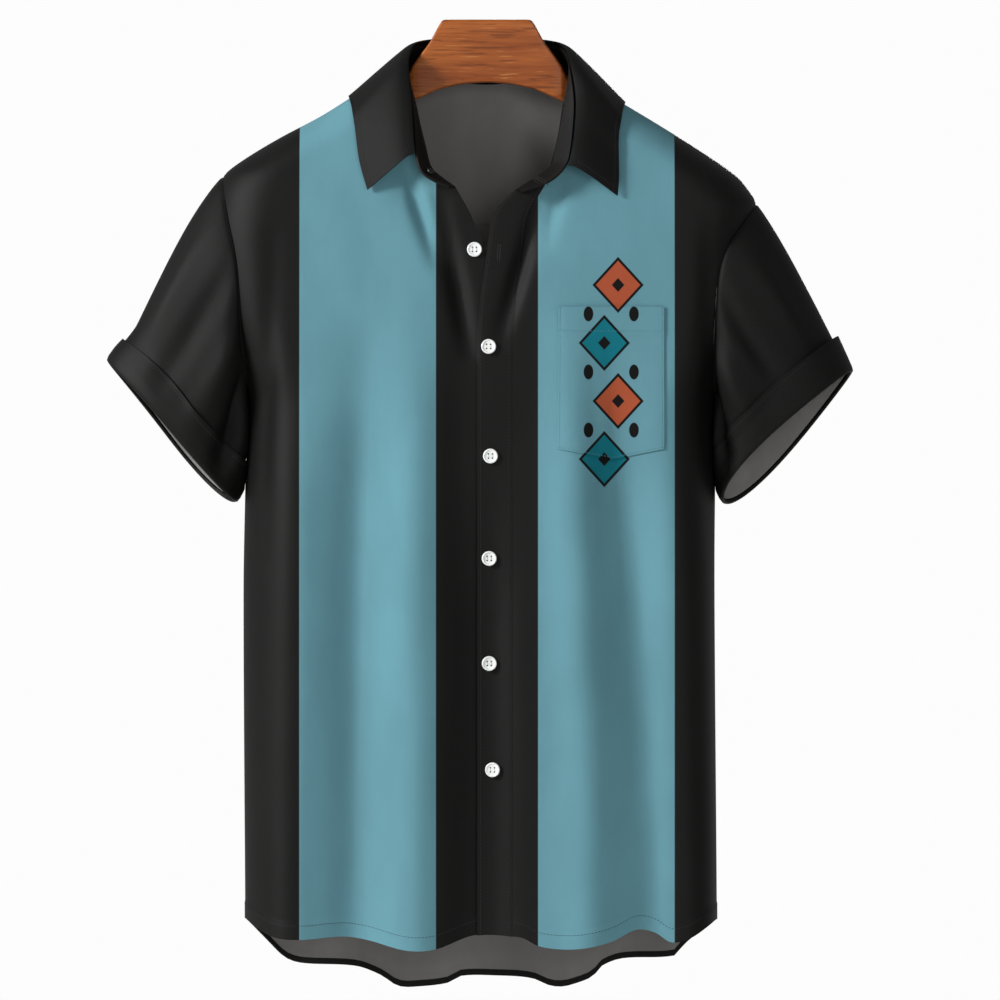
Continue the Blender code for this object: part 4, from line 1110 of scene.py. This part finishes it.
def sleeve_rows(side):
    """The sleeve, from the allowance under the body's edge to the cuff."""
    rows = [[tucked(side, angle, reach) for angle in angles_round] for reach in TUCK_REACH]
    lengths = [sleeve_length(side, angle) for angle in angles_round]
    ends = [1 - (HEM_LIP + SLEEVE_GAP) / length for length in lengths]
    for share in [(k / SLEEVE_ROWS) ** SLEEVE_CLOSE for k in range(SLEEVE_ROWS + 1)]:
        rows.append([sleeve_point(side, angle, share * end,
                                  -TUCK * (1 - ease(share * length / TUCK_RISE)))
                     for angle, end, length in zip(angles_round, ends, lengths)])
    return rows


def cuff_rows(side):
    """The cuff, once round its section."""
    rows = []
    for height, out in along(CUFF_SECTION, steps(0, 1, CUFF_POINTS)):
        row = []
        for angle in angles_round:
            upwards = math.cos(math.radians(angle))
            flare = CUFF_FLARE[side] * ease(upwards * FLARE_NEAR[0] - FLARE_NEAR[1])
            lean = flare * (height / CUFF_BAND) ** FLARE_RISE if out > CUFF_OUTSIDE else 0
            tall = 1 - CUFF_SHORT[side] * max(upwards, 0) ** 2
            lower = 1 + (tall - 1) * ease((height - HEM_LIP) / (CUFF_BAND - HEM_LIP))
            share = 1 - height * lower / sleeve_length(side, angle)
            row.append(sleeve_point(side, angle, share, out + lean))
        rows.append(row)
    return rows


def solid_cloth(name, rows, finishes):
    """A piece whose rows close on themselves both ways, as a cuff's section does."""
    bm = grid(rows, measured(rows), closed=True)
    bm.normal_update()
    if bm.calc_volume(signed=True) < 0:
        bmesh.ops.reverse_faces(bm, faces=bm.faces)
    SURFACES[name] = (BVHTree.FromBMesh(bm), 0)
    piece = finished(name, bm, finishes)
    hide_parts(name.removesuffix("_cloth"))
    print(name, len(piece.data.polygons), "faces")


for side, name in ((LEFT, "right"), (RIGHT, "left")):
    cloth(f"sleeve_{name}_cloth", sleeve_rows(side), (black, inside), closed=True)
    solid_cloth(f"cuff_{name}_cloth", cuff_rows(side), (black,))

# %% [markdown]
# A camp collar has two parts: a low stand that is sewn to the neckline, and a fall that rolls
# over it and lies on the shoulders. Both follow a row of stations round the neck. Between its
# roll and its outer edge, the fall is lifted until it clears the cloth beneath it.

# %% The collar
COLLAR = (  # the neck seam on the shell (face, x, drop), and the stand's top (x, y, drop)
    (FRONT, -27.5, 147, -33, -58, 147), (FRONT, -38, 139, -47, -60, 141.5),
    (FRONT, -48, 130, -57.5, -58, 133), (FRONT, -53, 112, -62, -54, 117),
    (FRONT, -58, 92, -64, -47, 92), (FRONT, -63, 71, -66, -38, 67),
    (FRONT, -69, 54, -69, -26, 42), (BACK, -75, 43, -66, -6, 26),
    (BACK, -60, 47, -53, 10, 20.5), (BACK, -33, 53, -28, 18.5, 19.5),
    (BACK, 0, 56, 0, 21, 19), (BACK, 33, 53, 28, 18.5, 19.5),
    (BACK, 60, 49, 54, 10, 21), (BACK, 75, 48, 68, -6, 27),
    (FRONT, 70, 58, 73, -26, 45), (FRONT, 66, 78, 76, -38, 72),
    (FRONT, 62, 100, 75, -47, 95), (FRONT, 58, 118, 73, -54, 113),
    (FRONT, 55, 128, 69, -58, 128), (FRONT, 42, 138, 55, -60, 142),
    (FRONT, 25, 149, 30, -58, 151),
)
FALL_FIRST = 3  # the station where the fall begins
COLLAR_GAP = 4.2  # how far the fall's middle stays from the middle of the cloth under it
STATION_STEPS = 8
STAND_START, STAND_ROWS = 2, 10  # the stand's edge clears the neckline by this
FALL_ROWS, FALL_CLOSE = 28, 1.5  # and how much closer the first rows lie
ROLL_START, ROLL_OUT, ROLL_ARCH = 2.5, 3, 3.5  # the fall's roll: above the stand, out, its arch
ROLL_OVER, ARCH_EARLY = 0.06, 0.55  # the roll is full at this share; the arch's top lies early
CLEAR_FROM = 0.2  # from this share on the fall is lifted clear
CLEAR_OUT, CLEAR_UP, CLEAR_TRIES = 0.12, 0.17, 160  # by small moves
SMOOTHED = 2
FALL_EDGE = (  # the fall's outer edge on the shell (face, x, drop)
    (FRONT, -104, 149.5), (FRONT, -111, 124), (FRONT, -114.5, 98), (FRONT, -115.5, 81),
    (BACK, -115.5, 67), (BACK, -99, 83), (BACK, -55, 90), (BACK, 0, 92), (BACK, 55, 90),
    (BACK, 98, 86), (BACK, 115, 72), (FRONT, 115.5, 84), (FRONT, 114.5, 104),
    (FRONT, 114.5, 124), (FRONT, 114.5, 140), (FRONT, 113.5, 154.4),
)


def smooth_stations(rows, first, last):
    """Points on a smooth curve through the stations."""
    columns = [[(i, row[axis]) for i, row in enumerate(rows)] for axis in range(3)]
    places = steps(first, last, (last - first) * STATION_STEPS)
    return [Vector(tuple(read(column, at) for column in columns)) for at in places]


neck_seam = [shell(face, place_of(face, x, drop), drop) for face, x, drop, *top in COLLAR]
stand_top = [Vector((x, y, -drop)) * MM for *seam, x, y, drop in COLLAR]


def stand_rows():
    """The stand, from the neckline up to its top."""
    seam, top = (smooth_stations(line, 0, len(COLLAR) - 1) for line in (neck_seam, stand_top))
    feet = [low + (high - low).normalized() * STAND_START * MM for low, high in zip(seam, top)]
    return [[low.lerp(high, share) for low, high in zip(feet, top)]
            for share in steps(0, 1, STAND_ROWS)]


def lifted_clear(point, gap):
    """The point, moved up and outwards until it is this far outside the shell."""
    face = BACK if point.y > 0 else FRONT
    side = RIGHT if point.x > 0 else LEFT
    point = point / MM
    for _ in range(CLEAR_TRIES):
        wide, corner, depth, _ = ring(face, -point.z, side)
        past = max(abs(point.x) - (wide - corner), 0) / (corner + gap)
        if math.hypot(past, point.y / (depth + gap)) >= 1:
            break
        point += Vector((0, face * CLEAR_OUT, CLEAR_UP))
    return point * MM


def fall_rows():
    """The fall, from its roll over the stand to its outer edge."""
    last = FALL_FIRST + len(FALL_EDGE) - 1
    roll, seam = (smooth_stations(line, FALL_FIRST, last) for line in (stand_top, neck_seam))
    laid = [shell(face, place_of(face, x, drop), drop, COLLAR_GAP) for face, x, drop in FALL_EDGE]
    edge = smooth_stations(laid, 0, len(laid) - 1)
    rows = []
    for share in [(k / FALL_ROWS) ** FALL_CLOSE for k in range(FALL_ROWS + 1)]:
        row = []
        for high, low, sewn in zip(roll, edge, seam):
            away = Vector((low.x - high.x, low.y - high.y, 0)).normalized()
            up = (high - sewn).normalized()
            arch = math.sin(math.pi * share ** ARCH_EARLY)
            outwards = away * ROLL_OUT * min(share / ROLL_OVER, 1) * (1 - share)
            turned = outwards + up * ROLL_ARCH * arch
            point = (high + up * ROLL_START * MM).lerp(low, share) + turned * MM
            row.append(lifted_clear(point, COLLAR_GAP) if share > CLEAR_FROM else point)
        rows.append(row)
    for _ in range(SMOOTHED):
        rows = [rows[0]] + [
            [point.lerp((above + below) / 2, 0.5) for above, point, below in zip(*three)]
            for three in zip(rows, rows[1:], rows[2:])] + [rows[-1]]
    return rows


stand, fall = stand_rows(), fall_rows()
cloth("collar_stand_cloth", stand, (black, black), BAND, outwards=from_neck)
cloth("collar_fall_cloth", fall, (black, black), BAND, outwards=from_neck)

# %% [markdown]
# The pocket is one patch that lies on the front. Rays from the front find where the front's
# cloth is, and the patch is set just above it. Its top edge is turned down twice, so it
# stands a little thicker, and its sides and point are pressed flat by their stitches.

# %% The pocket
POCKET = (61.8, 154, 251.5, 375, 9)  # left, right, top and bottom drop, depth of its point
POCKET_GAP, POCKET_SQUARES = 0.15, (40, 54)
POCKET_HEM, POCKET_HEM_LIFT = 24, 0.45  # its turned top edge: how deep, and how much thicker
POCKET_LIFT, LIFT_WAY, POINT_FLAT = 0.35, 7, 1.3  # it lifts off over this way from its edges
RAY_START = -0.5  # in metres, well in front of the shirt


def seen(sheet, x, drop):
    """Where a ray from the front meets a sheet at (x, drop), and the way it faces there."""
    start = Vector((x * MM, RAY_START, -drop * MM))
    return SURFACES[sheet][0].ray_cast(start, Vector((0, 1, 0)))[:2]


def laid_on(sheet, x, drop, out=0.0):
    """The point over (x, drop) on a sheet, moved forwards by out, and the way it faces."""
    point, normal = seen(sheet, x, drop)
    if normal.y > 0:
        normal = -normal
    return point + normal * out * MM, normal


def pocket_place(across, down):
    """x and drop of a place on the pocket, both shares from 0 to 1."""
    left, right, top, bottom, point = POCKET
    low = bottom + point * (1 - abs(across * 2 - 1))
    return left + (right - left) * across, top + (low - top) * down


def pocket_lift(across, down):
    """How far the pocket stands off at a place, also shares from 0 to 1."""
    left, right, top, bottom, _ = POCKET
    edge = min(across, 1 - across, (1 - down) * POINT_FLAT) * (right - left)
    hem = ease((POCKET_HEM - down * (bottom - top)) / 2 + 0.5)
    return POCKET_LIFT * ease(edge / LIFT_WAY) + POCKET_HEM_LIFT * hem


pocket_rows = [[laid_on("front_left_cloth", *pocket_place(across, down),
                        CLOTH + POCKET_GAP + pocket_lift(across, down))[0]
                for across in steps(0, 1, POCKET_SQUARES[0])]
               for down in steps(0, 1, POCKET_SQUARES[1])]
cloth("pocket_cloth", pocket_rows, (chest, inside), outwards=from_axis)

# %% [markdown]
# A shirt button is turned from a flat disc: a rim, a dished middle and four holes, through
# which thread holds it. A profile spun about Z makes the disc, and a Boolean modifier drills
# it. Each one is laid on the highest cloth under it, and turned to face as that cloth does.

# %% Buttons
BUTTONS = ((-10.9, 201.5), (1.3, 286), (3, 381), (1.7, 470), (1.7, 561.5), (5.2, 654))
COLLAR_BUTTON = (-50.5, 134.8, 3.6)  # x, drop and radius
BUTTON_RADIUS, BUTTON_THICK, BUTTON_GAP = 6.5, 2.6, 0.4
BUTTON_SIDES, RIM_POINTS, HOLES, HOLE_SIDES = 40, 16, 4, 14
PROFILE = (  # (out, up), as shares of the radius and the thickness
    (0, 0), (0.8, 0), (0.93, 0.08), (1, 0.3), (1, 0.62), (0.96, 0.88), (0.88, 1),
    (0.8, 0.96), (0.72, 0.78), (0.62, 0.69), (0.4, 0.66), (0, 0.66),
)
HOLE_RADIUS, HOLE_PLACE, BAR_WIDE = 0.12, 0.27, 0.12  # as shares of the button's radius
BAR_OVER = 1.15  # how far a bar of thread goes past the holes' middles, as a share of their place
BAR_SEAT = 0.62  # how high it lies, as a share of the thickness
FOOT, FOOT_SIDES = (0.8, 0.6), 10  # the thread's foot: lower and upper radius, shares as above
SUNK = 0.1  # how far thread goes into what it touches
DRILL_LONG = 0.02  # in metres


def above(sheet, x, drop, radius, gap):
    """Where a disc lies over (x, drop) this far from the highest cloth under it."""
    point, normal = laid_on(sheet, x, drop)
    highest = 0.0
    for k in range(RIM_POINTS):
        turn = k * math.tau / RIM_POINTS
        rim = laid_on(sheet, x + radius * math.cos(turn), drop + radius * math.sin(turn))[0]
        highest = max(highest, (rim - point).dot(normal))
    return point + normal * (highest + gap * MM), normal


def sizes(radius):
    """A button's radius and thickness, in metres."""
    return radius * MM, BUTTON_THICK * radius / BUTTON_RADIUS * MM


def turned_disc(radius):
    """The profile spun about Z."""
    size, thick = sizes(radius)
    bm = bmesh.new()
    for across, up in PROFILE:
        bm.verts.new((across * size, 0, up * thick))
    bm.verts.ensure_lookup_table()
    for a, b in zip(bm.verts[:], bm.verts[1:]):
        bm.edges.new((a, b))
    bmesh.ops.spin(bm, geom=bm.verts[:] + bm.edges[:], axis=(0, 0, 1), cent=(0, 0, 0),
                   steps=BUTTON_SIDES, angle=math.tau, use_merge=True)
    bmesh.ops.remove_doubles(bm, verts=bm.verts, dist=MERGE)
    bmesh.ops.recalc_face_normals(bm, faces=bm.faces)
    return bm


def drill(piece, radius):
    """Cuts the holes out of a disc that lies flat."""
    size = sizes(radius)[0]
    bm = bmesh.new()
    for k in range(HOLES):
        turn = math.pi / HOLES + k * math.tau / HOLES
        spot = Vector((math.cos(turn), math.sin(turn), 0)) * HOLE_PLACE * math.sqrt(2) * size
        bmesh.ops.create_cone(bm, cap_ends=True, segments=HOLE_SIDES, radius1=HOLE_RADIUS * size,
                              radius2=HOLE_RADIUS * size, depth=DRILL_LONG,
                              matrix=Matrix.Translation(spot))
    mesh = bpy.data.meshes.new("drill")
    bm.to_mesh(mesh)
    bm.free()
    bits = bpy.data.objects.new("drill", mesh)
    bpy.context.scene.collection.objects.link(bits)
    cut = piece.modifiers.new("holes", "BOOLEAN")
    cut.object = bits
    settle(piece, CRISP)
    bpy.data.objects.remove(bits)


def tie(name, radius, point, normal, turn, slot):
    """The thread through a button: two bars over it and a foot under it."""
    size, thick = sizes(radius)
    bm = bmesh.new()
    reach, low = HOLE_PLACE * size, BAR_SEAT * thick
    for side in (-1, 1):
        a, b = (point + turn @ Vector((side * reach, end * reach * BAR_OVER, low + SUNK * MM))
                for end in (-1, 1))
        bar(bm, a, b, normal, radius * BAR_WIDE)
    foot = Matrix.Translation(point + normal * (low / 2 - SUNK * MM)) @ turn.to_4x4()
    bmesh.ops.create_cone(bm, cap_ends=True, segments=FOOT_SIDES, radius1=reach * FOOT[0],
                          radius2=reach * FOOT[1], depth=low + 4 * SUNK * MM, matrix=foot)
    finished(name, bm, (cotton if slot == "button_white" else thread,))


def button(stem, sheet, x, drop, radius, finish, slot):
    """A button and its thread, on a sheet."""
    made = finished(f"{stem}_disc", turned_disc(radius), (finish.material,))
    drill(made, radius)
    point, normal = above(sheet, x, drop, radius, SURFACES[sheet][1] / 2 + BUTTON_GAP)
    turn = normal.to_track_quat("Z", "Y").to_matrix()
    made.data.transform(Matrix.Translation(point) @ turn.to_4x4())
    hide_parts(stem)
    tie(f"{stem}_thread", radius, point, normal, turn, slot)


for number, (x, drop) in enumerate(BUTTONS, 1):
    sheet = "front_right_cloth" if number == 1 else "placket_cloth"
    button(f"button_{number}", sheet, x, drop, BUTTON_RADIUS, resin, "button_white")
button("button_collar", "collar_stand_cloth", *COLLAR_BUTTON, near_black_button_finish, "black_cloth")
print("buttons:", len(BUTTONS) + 1)

# %% [markdown]
# Stitches go where a machine sews: beside each edge that is turned in, along the seams, and
# round the pocket. Their lines are read from the same rows as the pieces, so each line stays
# at the same distance from its edge.

# %% The stitches
EDGE_STITCH, HEM_STITCH = 4.0, 12.0
SEAM_STITCH, ARM_STITCH, STAND_STITCH, POCKET_STITCH = 2.5, 2.2, (2.0, 2.5), 1.8
PLACKET_STITCH = (3.0, 3.5)  # from its open edge and from its seam
FALL_STITCH, FALL_TURN = 5, 4  # so many of the first points at its ends lie in the roll
POCKET_HEM_STITCH = 21
CUFF_STITCH, CUFF_OUT = 29, 3.7  # above the cuff's end, and outside the sleeve
TOP_ROWS = 30  # the rows in which the shoulder's stitches lie


def at_gap(rows, gap, from_end=False):
    """The line this far from the first row, or from the last, measured down the columns."""
    order = rows[::-1] if from_end else rows
    line = []
    for column in zip(*order):
        left = gap * MM
        for a, b in zip(column, column[1:]):
            size = (b - a).length
            if size >= left:
                line.append(a.lerp(b, left / size))
                break
            left -= size
        else:
            line.append(column[-1])
    return line


def sideways(rows):
    """The same points in columns."""
    return [list(column) for column in zip(*rows)]


shoulder_count = SHOULDER_COLUMNS + 1
for name, side, panel, back_off in (("right", LEFT, under_panel, under_step),
                                    ("left", RIGHT, top_panel, no_step)):
    rows, _ = spread_out(FRONT, panel, back_off)
    shoulder_line = at_gap([row[:shoulder_count] for row in rows[:TOP_ROWS]], EDGE_STITCH)
    hem_row = [shell(FRONT, p, drop - HEM_STITCH, HEM_LIFT - back_off(p, drop))
               for p, drop in panel[-1]]
    sew(f"front_{name}", shoulder_line, hem_row)
hem_row = [shell(BACK, p, drop - HEM_STITCH, HEM_LIFT) for p, drop in back_panel()[-1]]
sew("back", hem_row, at_gap(back_rows, SEAM_STITCH))
sew("yoke", at_gap(yoke_rows, SEAM_STITCH, from_end=True))
across = sideways(placket_rows)
sew("placket", at_gap(across, PLACKET_STITCH[0]), at_gap(across, PLACKET_STITCH[1], from_end=True))
across = sideways(fall)
sew("collar_fall", at_gap(fall, FALL_STITCH, from_end=True),
    *(at_gap(across, FALL_STITCH, from_end)[FALL_TURN:] for from_end in (False, True)))
sew("collar_stand", at_gap(stand, STAND_STITCH[0]), at_gap(stand, STAND_STITCH[1], from_end=True))
across = sideways(pocket_rows)
sew("pocket", at_gap(across, POCKET_STITCH), at_gap(across, POCKET_STITCH, from_end=True),
    at_gap(pocket_rows, POCKET_STITCH, from_end=True), at_gap(pocket_rows, POCKET_HEM_STITCH),
    finish=blue_thread, slot="blue_cloth")
for side, name in ((LEFT, "right"), (RIGHT, "left")):
    sew(f"sleeve_{name}", at_gap(sleeve_rows(side)[len(TUCK_REACH):], ARM_STITCH))
    sew(f"cuff_{name}", [
        sleeve_point(side, angle, 1 - CUFF_STITCH / sleeve_length(side, angle), CUFF_OUT)
        for angle in angles_round])

# %% [markdown]
# A buttonhole is a slit with close stitches across both its lips. Only two show: one in the
# placket beside the open top button, and one in the collar's end.

# %% The buttonholes
BUTTONHOLES = (  # name, sheet, x, drop, degrees turned from upright
    ("placket_buttonhole", "placket_cloth", 10.5, 204, -4),
    ("collar_buttonhole", "collar_stand_cloth", 46, 140.6, 62),
)
SLIT, SLIT_HALF = 14, 0.25  # the slit's length and half its width
SLIT_STITCH, SLIT_PITCH, SLIT_THREAD = 1.5, 0.75, 0.7  # a stitch's length, the next one, its width
SLIT_OUT = 0.12  # how far its middle stands out
BEFORE_CLOTH = -60  # y of a place before the cloth


def on_sheet(sheet, x, drop, out):
    """The same as laid_on, also just past the sheet's edge."""
    if seen(sheet, x, drop)[0] is None:
        place = SURFACES[sheet][0].find_nearest(Vector((x, BEFORE_CLOTH, -drop)) * MM)[0]
        return place + Vector((0, -out, 0)) * MM, Vector((0, -1, 0))
    return laid_on(sheet, x, drop, out)


def buttonhole(name, sheet, x, drop, turned):
    """Close stitches on both lips of a slit round (x, drop), turned from upright."""
    bm = bmesh.new()
    run = Vector((math.sin(math.radians(turned)), math.cos(math.radians(turned))))
    side = Vector((run.y, -run.x))
    for k in range(int(SLIT / SLIT_PITCH) + 1):
        at = Vector((x, drop)) + run * (k * SLIT_PITCH - SLIT / 2)
        for lip in (-1, 1):
            ends = [at + side * lip * reach for reach in (SLIT_HALF, SLIT_HALF + SLIT_STITCH)]
            (a, normal), (b, _) = (on_sheet(sheet, *end, SURFACES[sheet][1] / 2 + SLIT_OUT)
                                   for end in ends)
            bar(bm, a, b, normal, SLIT_THREAD)
    finished(name, bm, (thread,))


for hole in BUTTONHOLES:
    buttonhole(*hole)
print("buttonholes:", len(BUTTONHOLES))

# %% [markdown]
# The hanger is one board of wood, cut to a crescent: a flat-topped head, and two arms that
# swell towards their ends. Sections along it, each a rounded rectangle, are joined by a grid,
# and one level of subdivision takes the hardness out of the corners.

# %% The hanger
HEAD = (  # distance from the middle, top, bottom, half depth, radius of the corners
    (0, 0, 54.8, 9, 2.5), (20, 0, 56, 9, 2.5), (38.5, 0, 60, 9, 2.5), (42, 5, 61, 9, 3),
    (50, 20, 64.5, 9, 3), (60, 33, 69, 9, 3.5), (65, 40, 71.5, 8.5, 4), (69, 48.5, 73.5, 7, 4),
    (73, 58, 77, 6.5, 4.5),
)
ARM = (  # the same without the top, which follows the shoulder
    (82, 80, 8, 6), (95, 88, 11, 8), (115, 100, 15, 11), (140, 116, 18, 13), (165, 131, 20, 14),
    (190, 146, 20, 14), (205, 154, 17, 12), (212, 155, 12, 9),
)
ARM_CLEAR = (1.5, 8)  # the arm's crest under the middle of the cloth, at its tip and by the neck
ARM_EVEN = 90  # how far from the neck the arm takes to come that near
TIP_SUNK = 4  # how much lower its tip is
RIDGE_END = 137  # the drop at which the shoulder's ridge ends
HANGER_SPLIT = 3  # sections between two stations
ROUND_STEPS = (0, 22.5, 45, 67.5, 90)


def ridge_drop(side, x):
    """The drop of the shoulder's ridge at a distance from the middle."""
    return read(tuple((wide, drop) for drop, wide in HALF_WIDTH[side] if drop <= RIDGE_END), x)


def arm_stations(side):
    """The stations from the middle of the head to the tip of one arm."""
    arm = [(side * x, *measures) for x, *measures in HEAD]
    for x, bottom, depth, soft in ARM:
        sunk = TIP_SUNK if x == ARM[-1][0] else 0
        near = 1 - ease((x - ARM[0][0]) / ARM_EVEN)
        clear = ARM_CLEAR[0] + (ARM_CLEAR[1] - ARM_CLEAR[0]) * near
        arm.append((side * x, ridge_drop(side, x) + clear + sunk, bottom, depth, soft))
    return arm


def rounded(x, top, bottom, depth, soft):
    """The board's section at x, a closed rectangle with round corners."""
    section = []
    for sy, sz, start in ((1, 1, 0), (-1, 1, 90), (-1, -1, 180), (1, -1, 270)):
        for degrees in ROUND_STEPS:
            turn = math.radians(start + degrees)
            middle = -top - soft if sz > 0 else -bottom + soft
            section.append(Vector((x, sy * (depth - soft) + soft * math.cos(turn),
                                   middle + soft * math.sin(turn))) * MM)
    return section + section[:1]


stations = arm_stations(LEFT)[::-1] + arm_stations(RIGHT)[1:]
split = [[a + (b - a) * part / HANGER_SPLIT for a, b in zip(*pair)]
         for pair in zip(stations, stations[1:]) for part in range(HANGER_SPLIT)]
sections = [rounded(*station) for station in split + stations[-1:]]
bm = grid(sections, measured(sections), closed=True)
bmesh.ops.holes_fill(bm, edges=[edge for edge in bm.edges if edge.is_boundary], sides=0)
bmesh.ops.recalc_face_normals(bm, faces=bm.faces)
hanger = finished("hanger_board", bm, (wood.material,))
softened = hanger.modifiers.new("soft", "SUBSURF")
softened.levels = softened.render_levels = 1
settle(hanger, CRISP)
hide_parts("hanger")
print("hanger faces:", len(hanger.data.polygons))

# %% [markdown]
# The floor is a pale disc well below the hem, and the air around is nearly white, as in a
# studio with paper on all sides. It looks white itself, but it lights the cloth far less: the
# folds would vanish if light came from everywhere. A soft lamp at the front left brings them
# out, a weak one near the front opens the shadows, and one behind does the same for the back.

# %% Floor, air and lamps
FLOOR_DROP, FLOOR_RADIUS = 1.12, 3.2
AIR, AIR_LIGHT = (0.98, 0.98, 0.98), 0.3  # its colour as seen, its strength as a light

bm = bmesh.new()
bmesh.ops.create_circle(bm, cap_ends=True, segments=96, radius=FLOOR_RADIUS)
bmesh.ops.translate(bm, verts=bm.verts, vec=(0, 0, -FLOOR_DROP))
paper = Finish("pale_floor", Roughness=0.9)
paper.feed(paper.shader.inputs["Base Color"], paper.blend(
    paper.noise(6), (0.79, 0.79, 0.78), (0.82, 0.82, 0.81)))
floor_mesh = bpy.data.meshes.new("floor")
bm.to_mesh(floor_mesh)
bm.free()
floor_mesh.materials.append(paper.material)
floor = bpy.data.objects.new("floor", floor_mesh)
bpy.context.scene.collection.objects.link(floor)

world = bpy.data.worlds.new("air")
world.use_nodes = True
air = world.node_tree.nodes["Background"]
air.inputs["Color"].default_value = (*AIR, 1)
rays = world.node_tree.nodes.new("ShaderNodeLightPath")
bright = world.node_tree.nodes.new("ShaderNodeMapRange")
world.node_tree.links.new(rays.outputs["Is Camera Ray"], bright.inputs["Value"])
bright.inputs["To Min"].default_value, bright.inputs["To Max"].default_value = AIR_LIGHT, 1.0
world.node_tree.links.new(bright.outputs["Result"], air.inputs["Strength"])
bpy.context.scene.world = world
bpy.context.scene.view_settings.view_transform = "Standard"

MIDDLE = Vector((0, 0, -0.42))  # what the lamps shine on


def lamp(name, place, size, power):
    """A square lamp that shines on the shirt's middle."""
    light = bpy.data.lights.new(name, "AREA")
    light.size, light.energy = size, power
    made = bpy.data.objects.new(name, light)
    made.location = place
    made.rotation_euler = (MIDDLE - Vector(place)).to_track_quat("-Z", "Y").to_euler()
    bpy.context.scene.collection.objects.link(made)


lamp("key", (-2.6, -1.4, 0.9), 0.8, 122)
lamp("fill", (1.2, -4.0, 0.4), 1.5, 31)
lamp("back", (0.3, 4.2, 0.2), 1.0, 75)
print("lamps: key, fill and back")

# %% [markdown]
# The camera stands fifteen metres in front, level with the middle, with a very long lens, so
# that the sides are hardly seen.

# %% The camera
CAMERA_WAY, FRAME_WIDE = 15.0, 0.87  # how far off it stands, and the width it sees there
CLOTH_FRONT = 0.05
CAMERA_X, CAMERA_Z = 0.0113, -0.4193  # the shirt's middle
camera_data = bpy.data.cameras.new("camera")
camera_data.lens = camera_data.sensor_width * CAMERA_WAY / FRAME_WIDE
camera = bpy.data.objects.new("camera", camera_data)
camera.location = (CAMERA_X, -CAMERA_WAY - CLOTH_FRONT, CAMERA_Z)
camera.rotation_euler = (math.radians(90), 0, 0)
bpy.context.scene.collection.objects.link(camera)
bpy.context.scene.camera = camera
print("lens:", round(camera_data.lens), "mm")

# %% [markdown]
# At the end, the view layer is brought up to date.

# %% The end
bpy.context.view_layer.update()
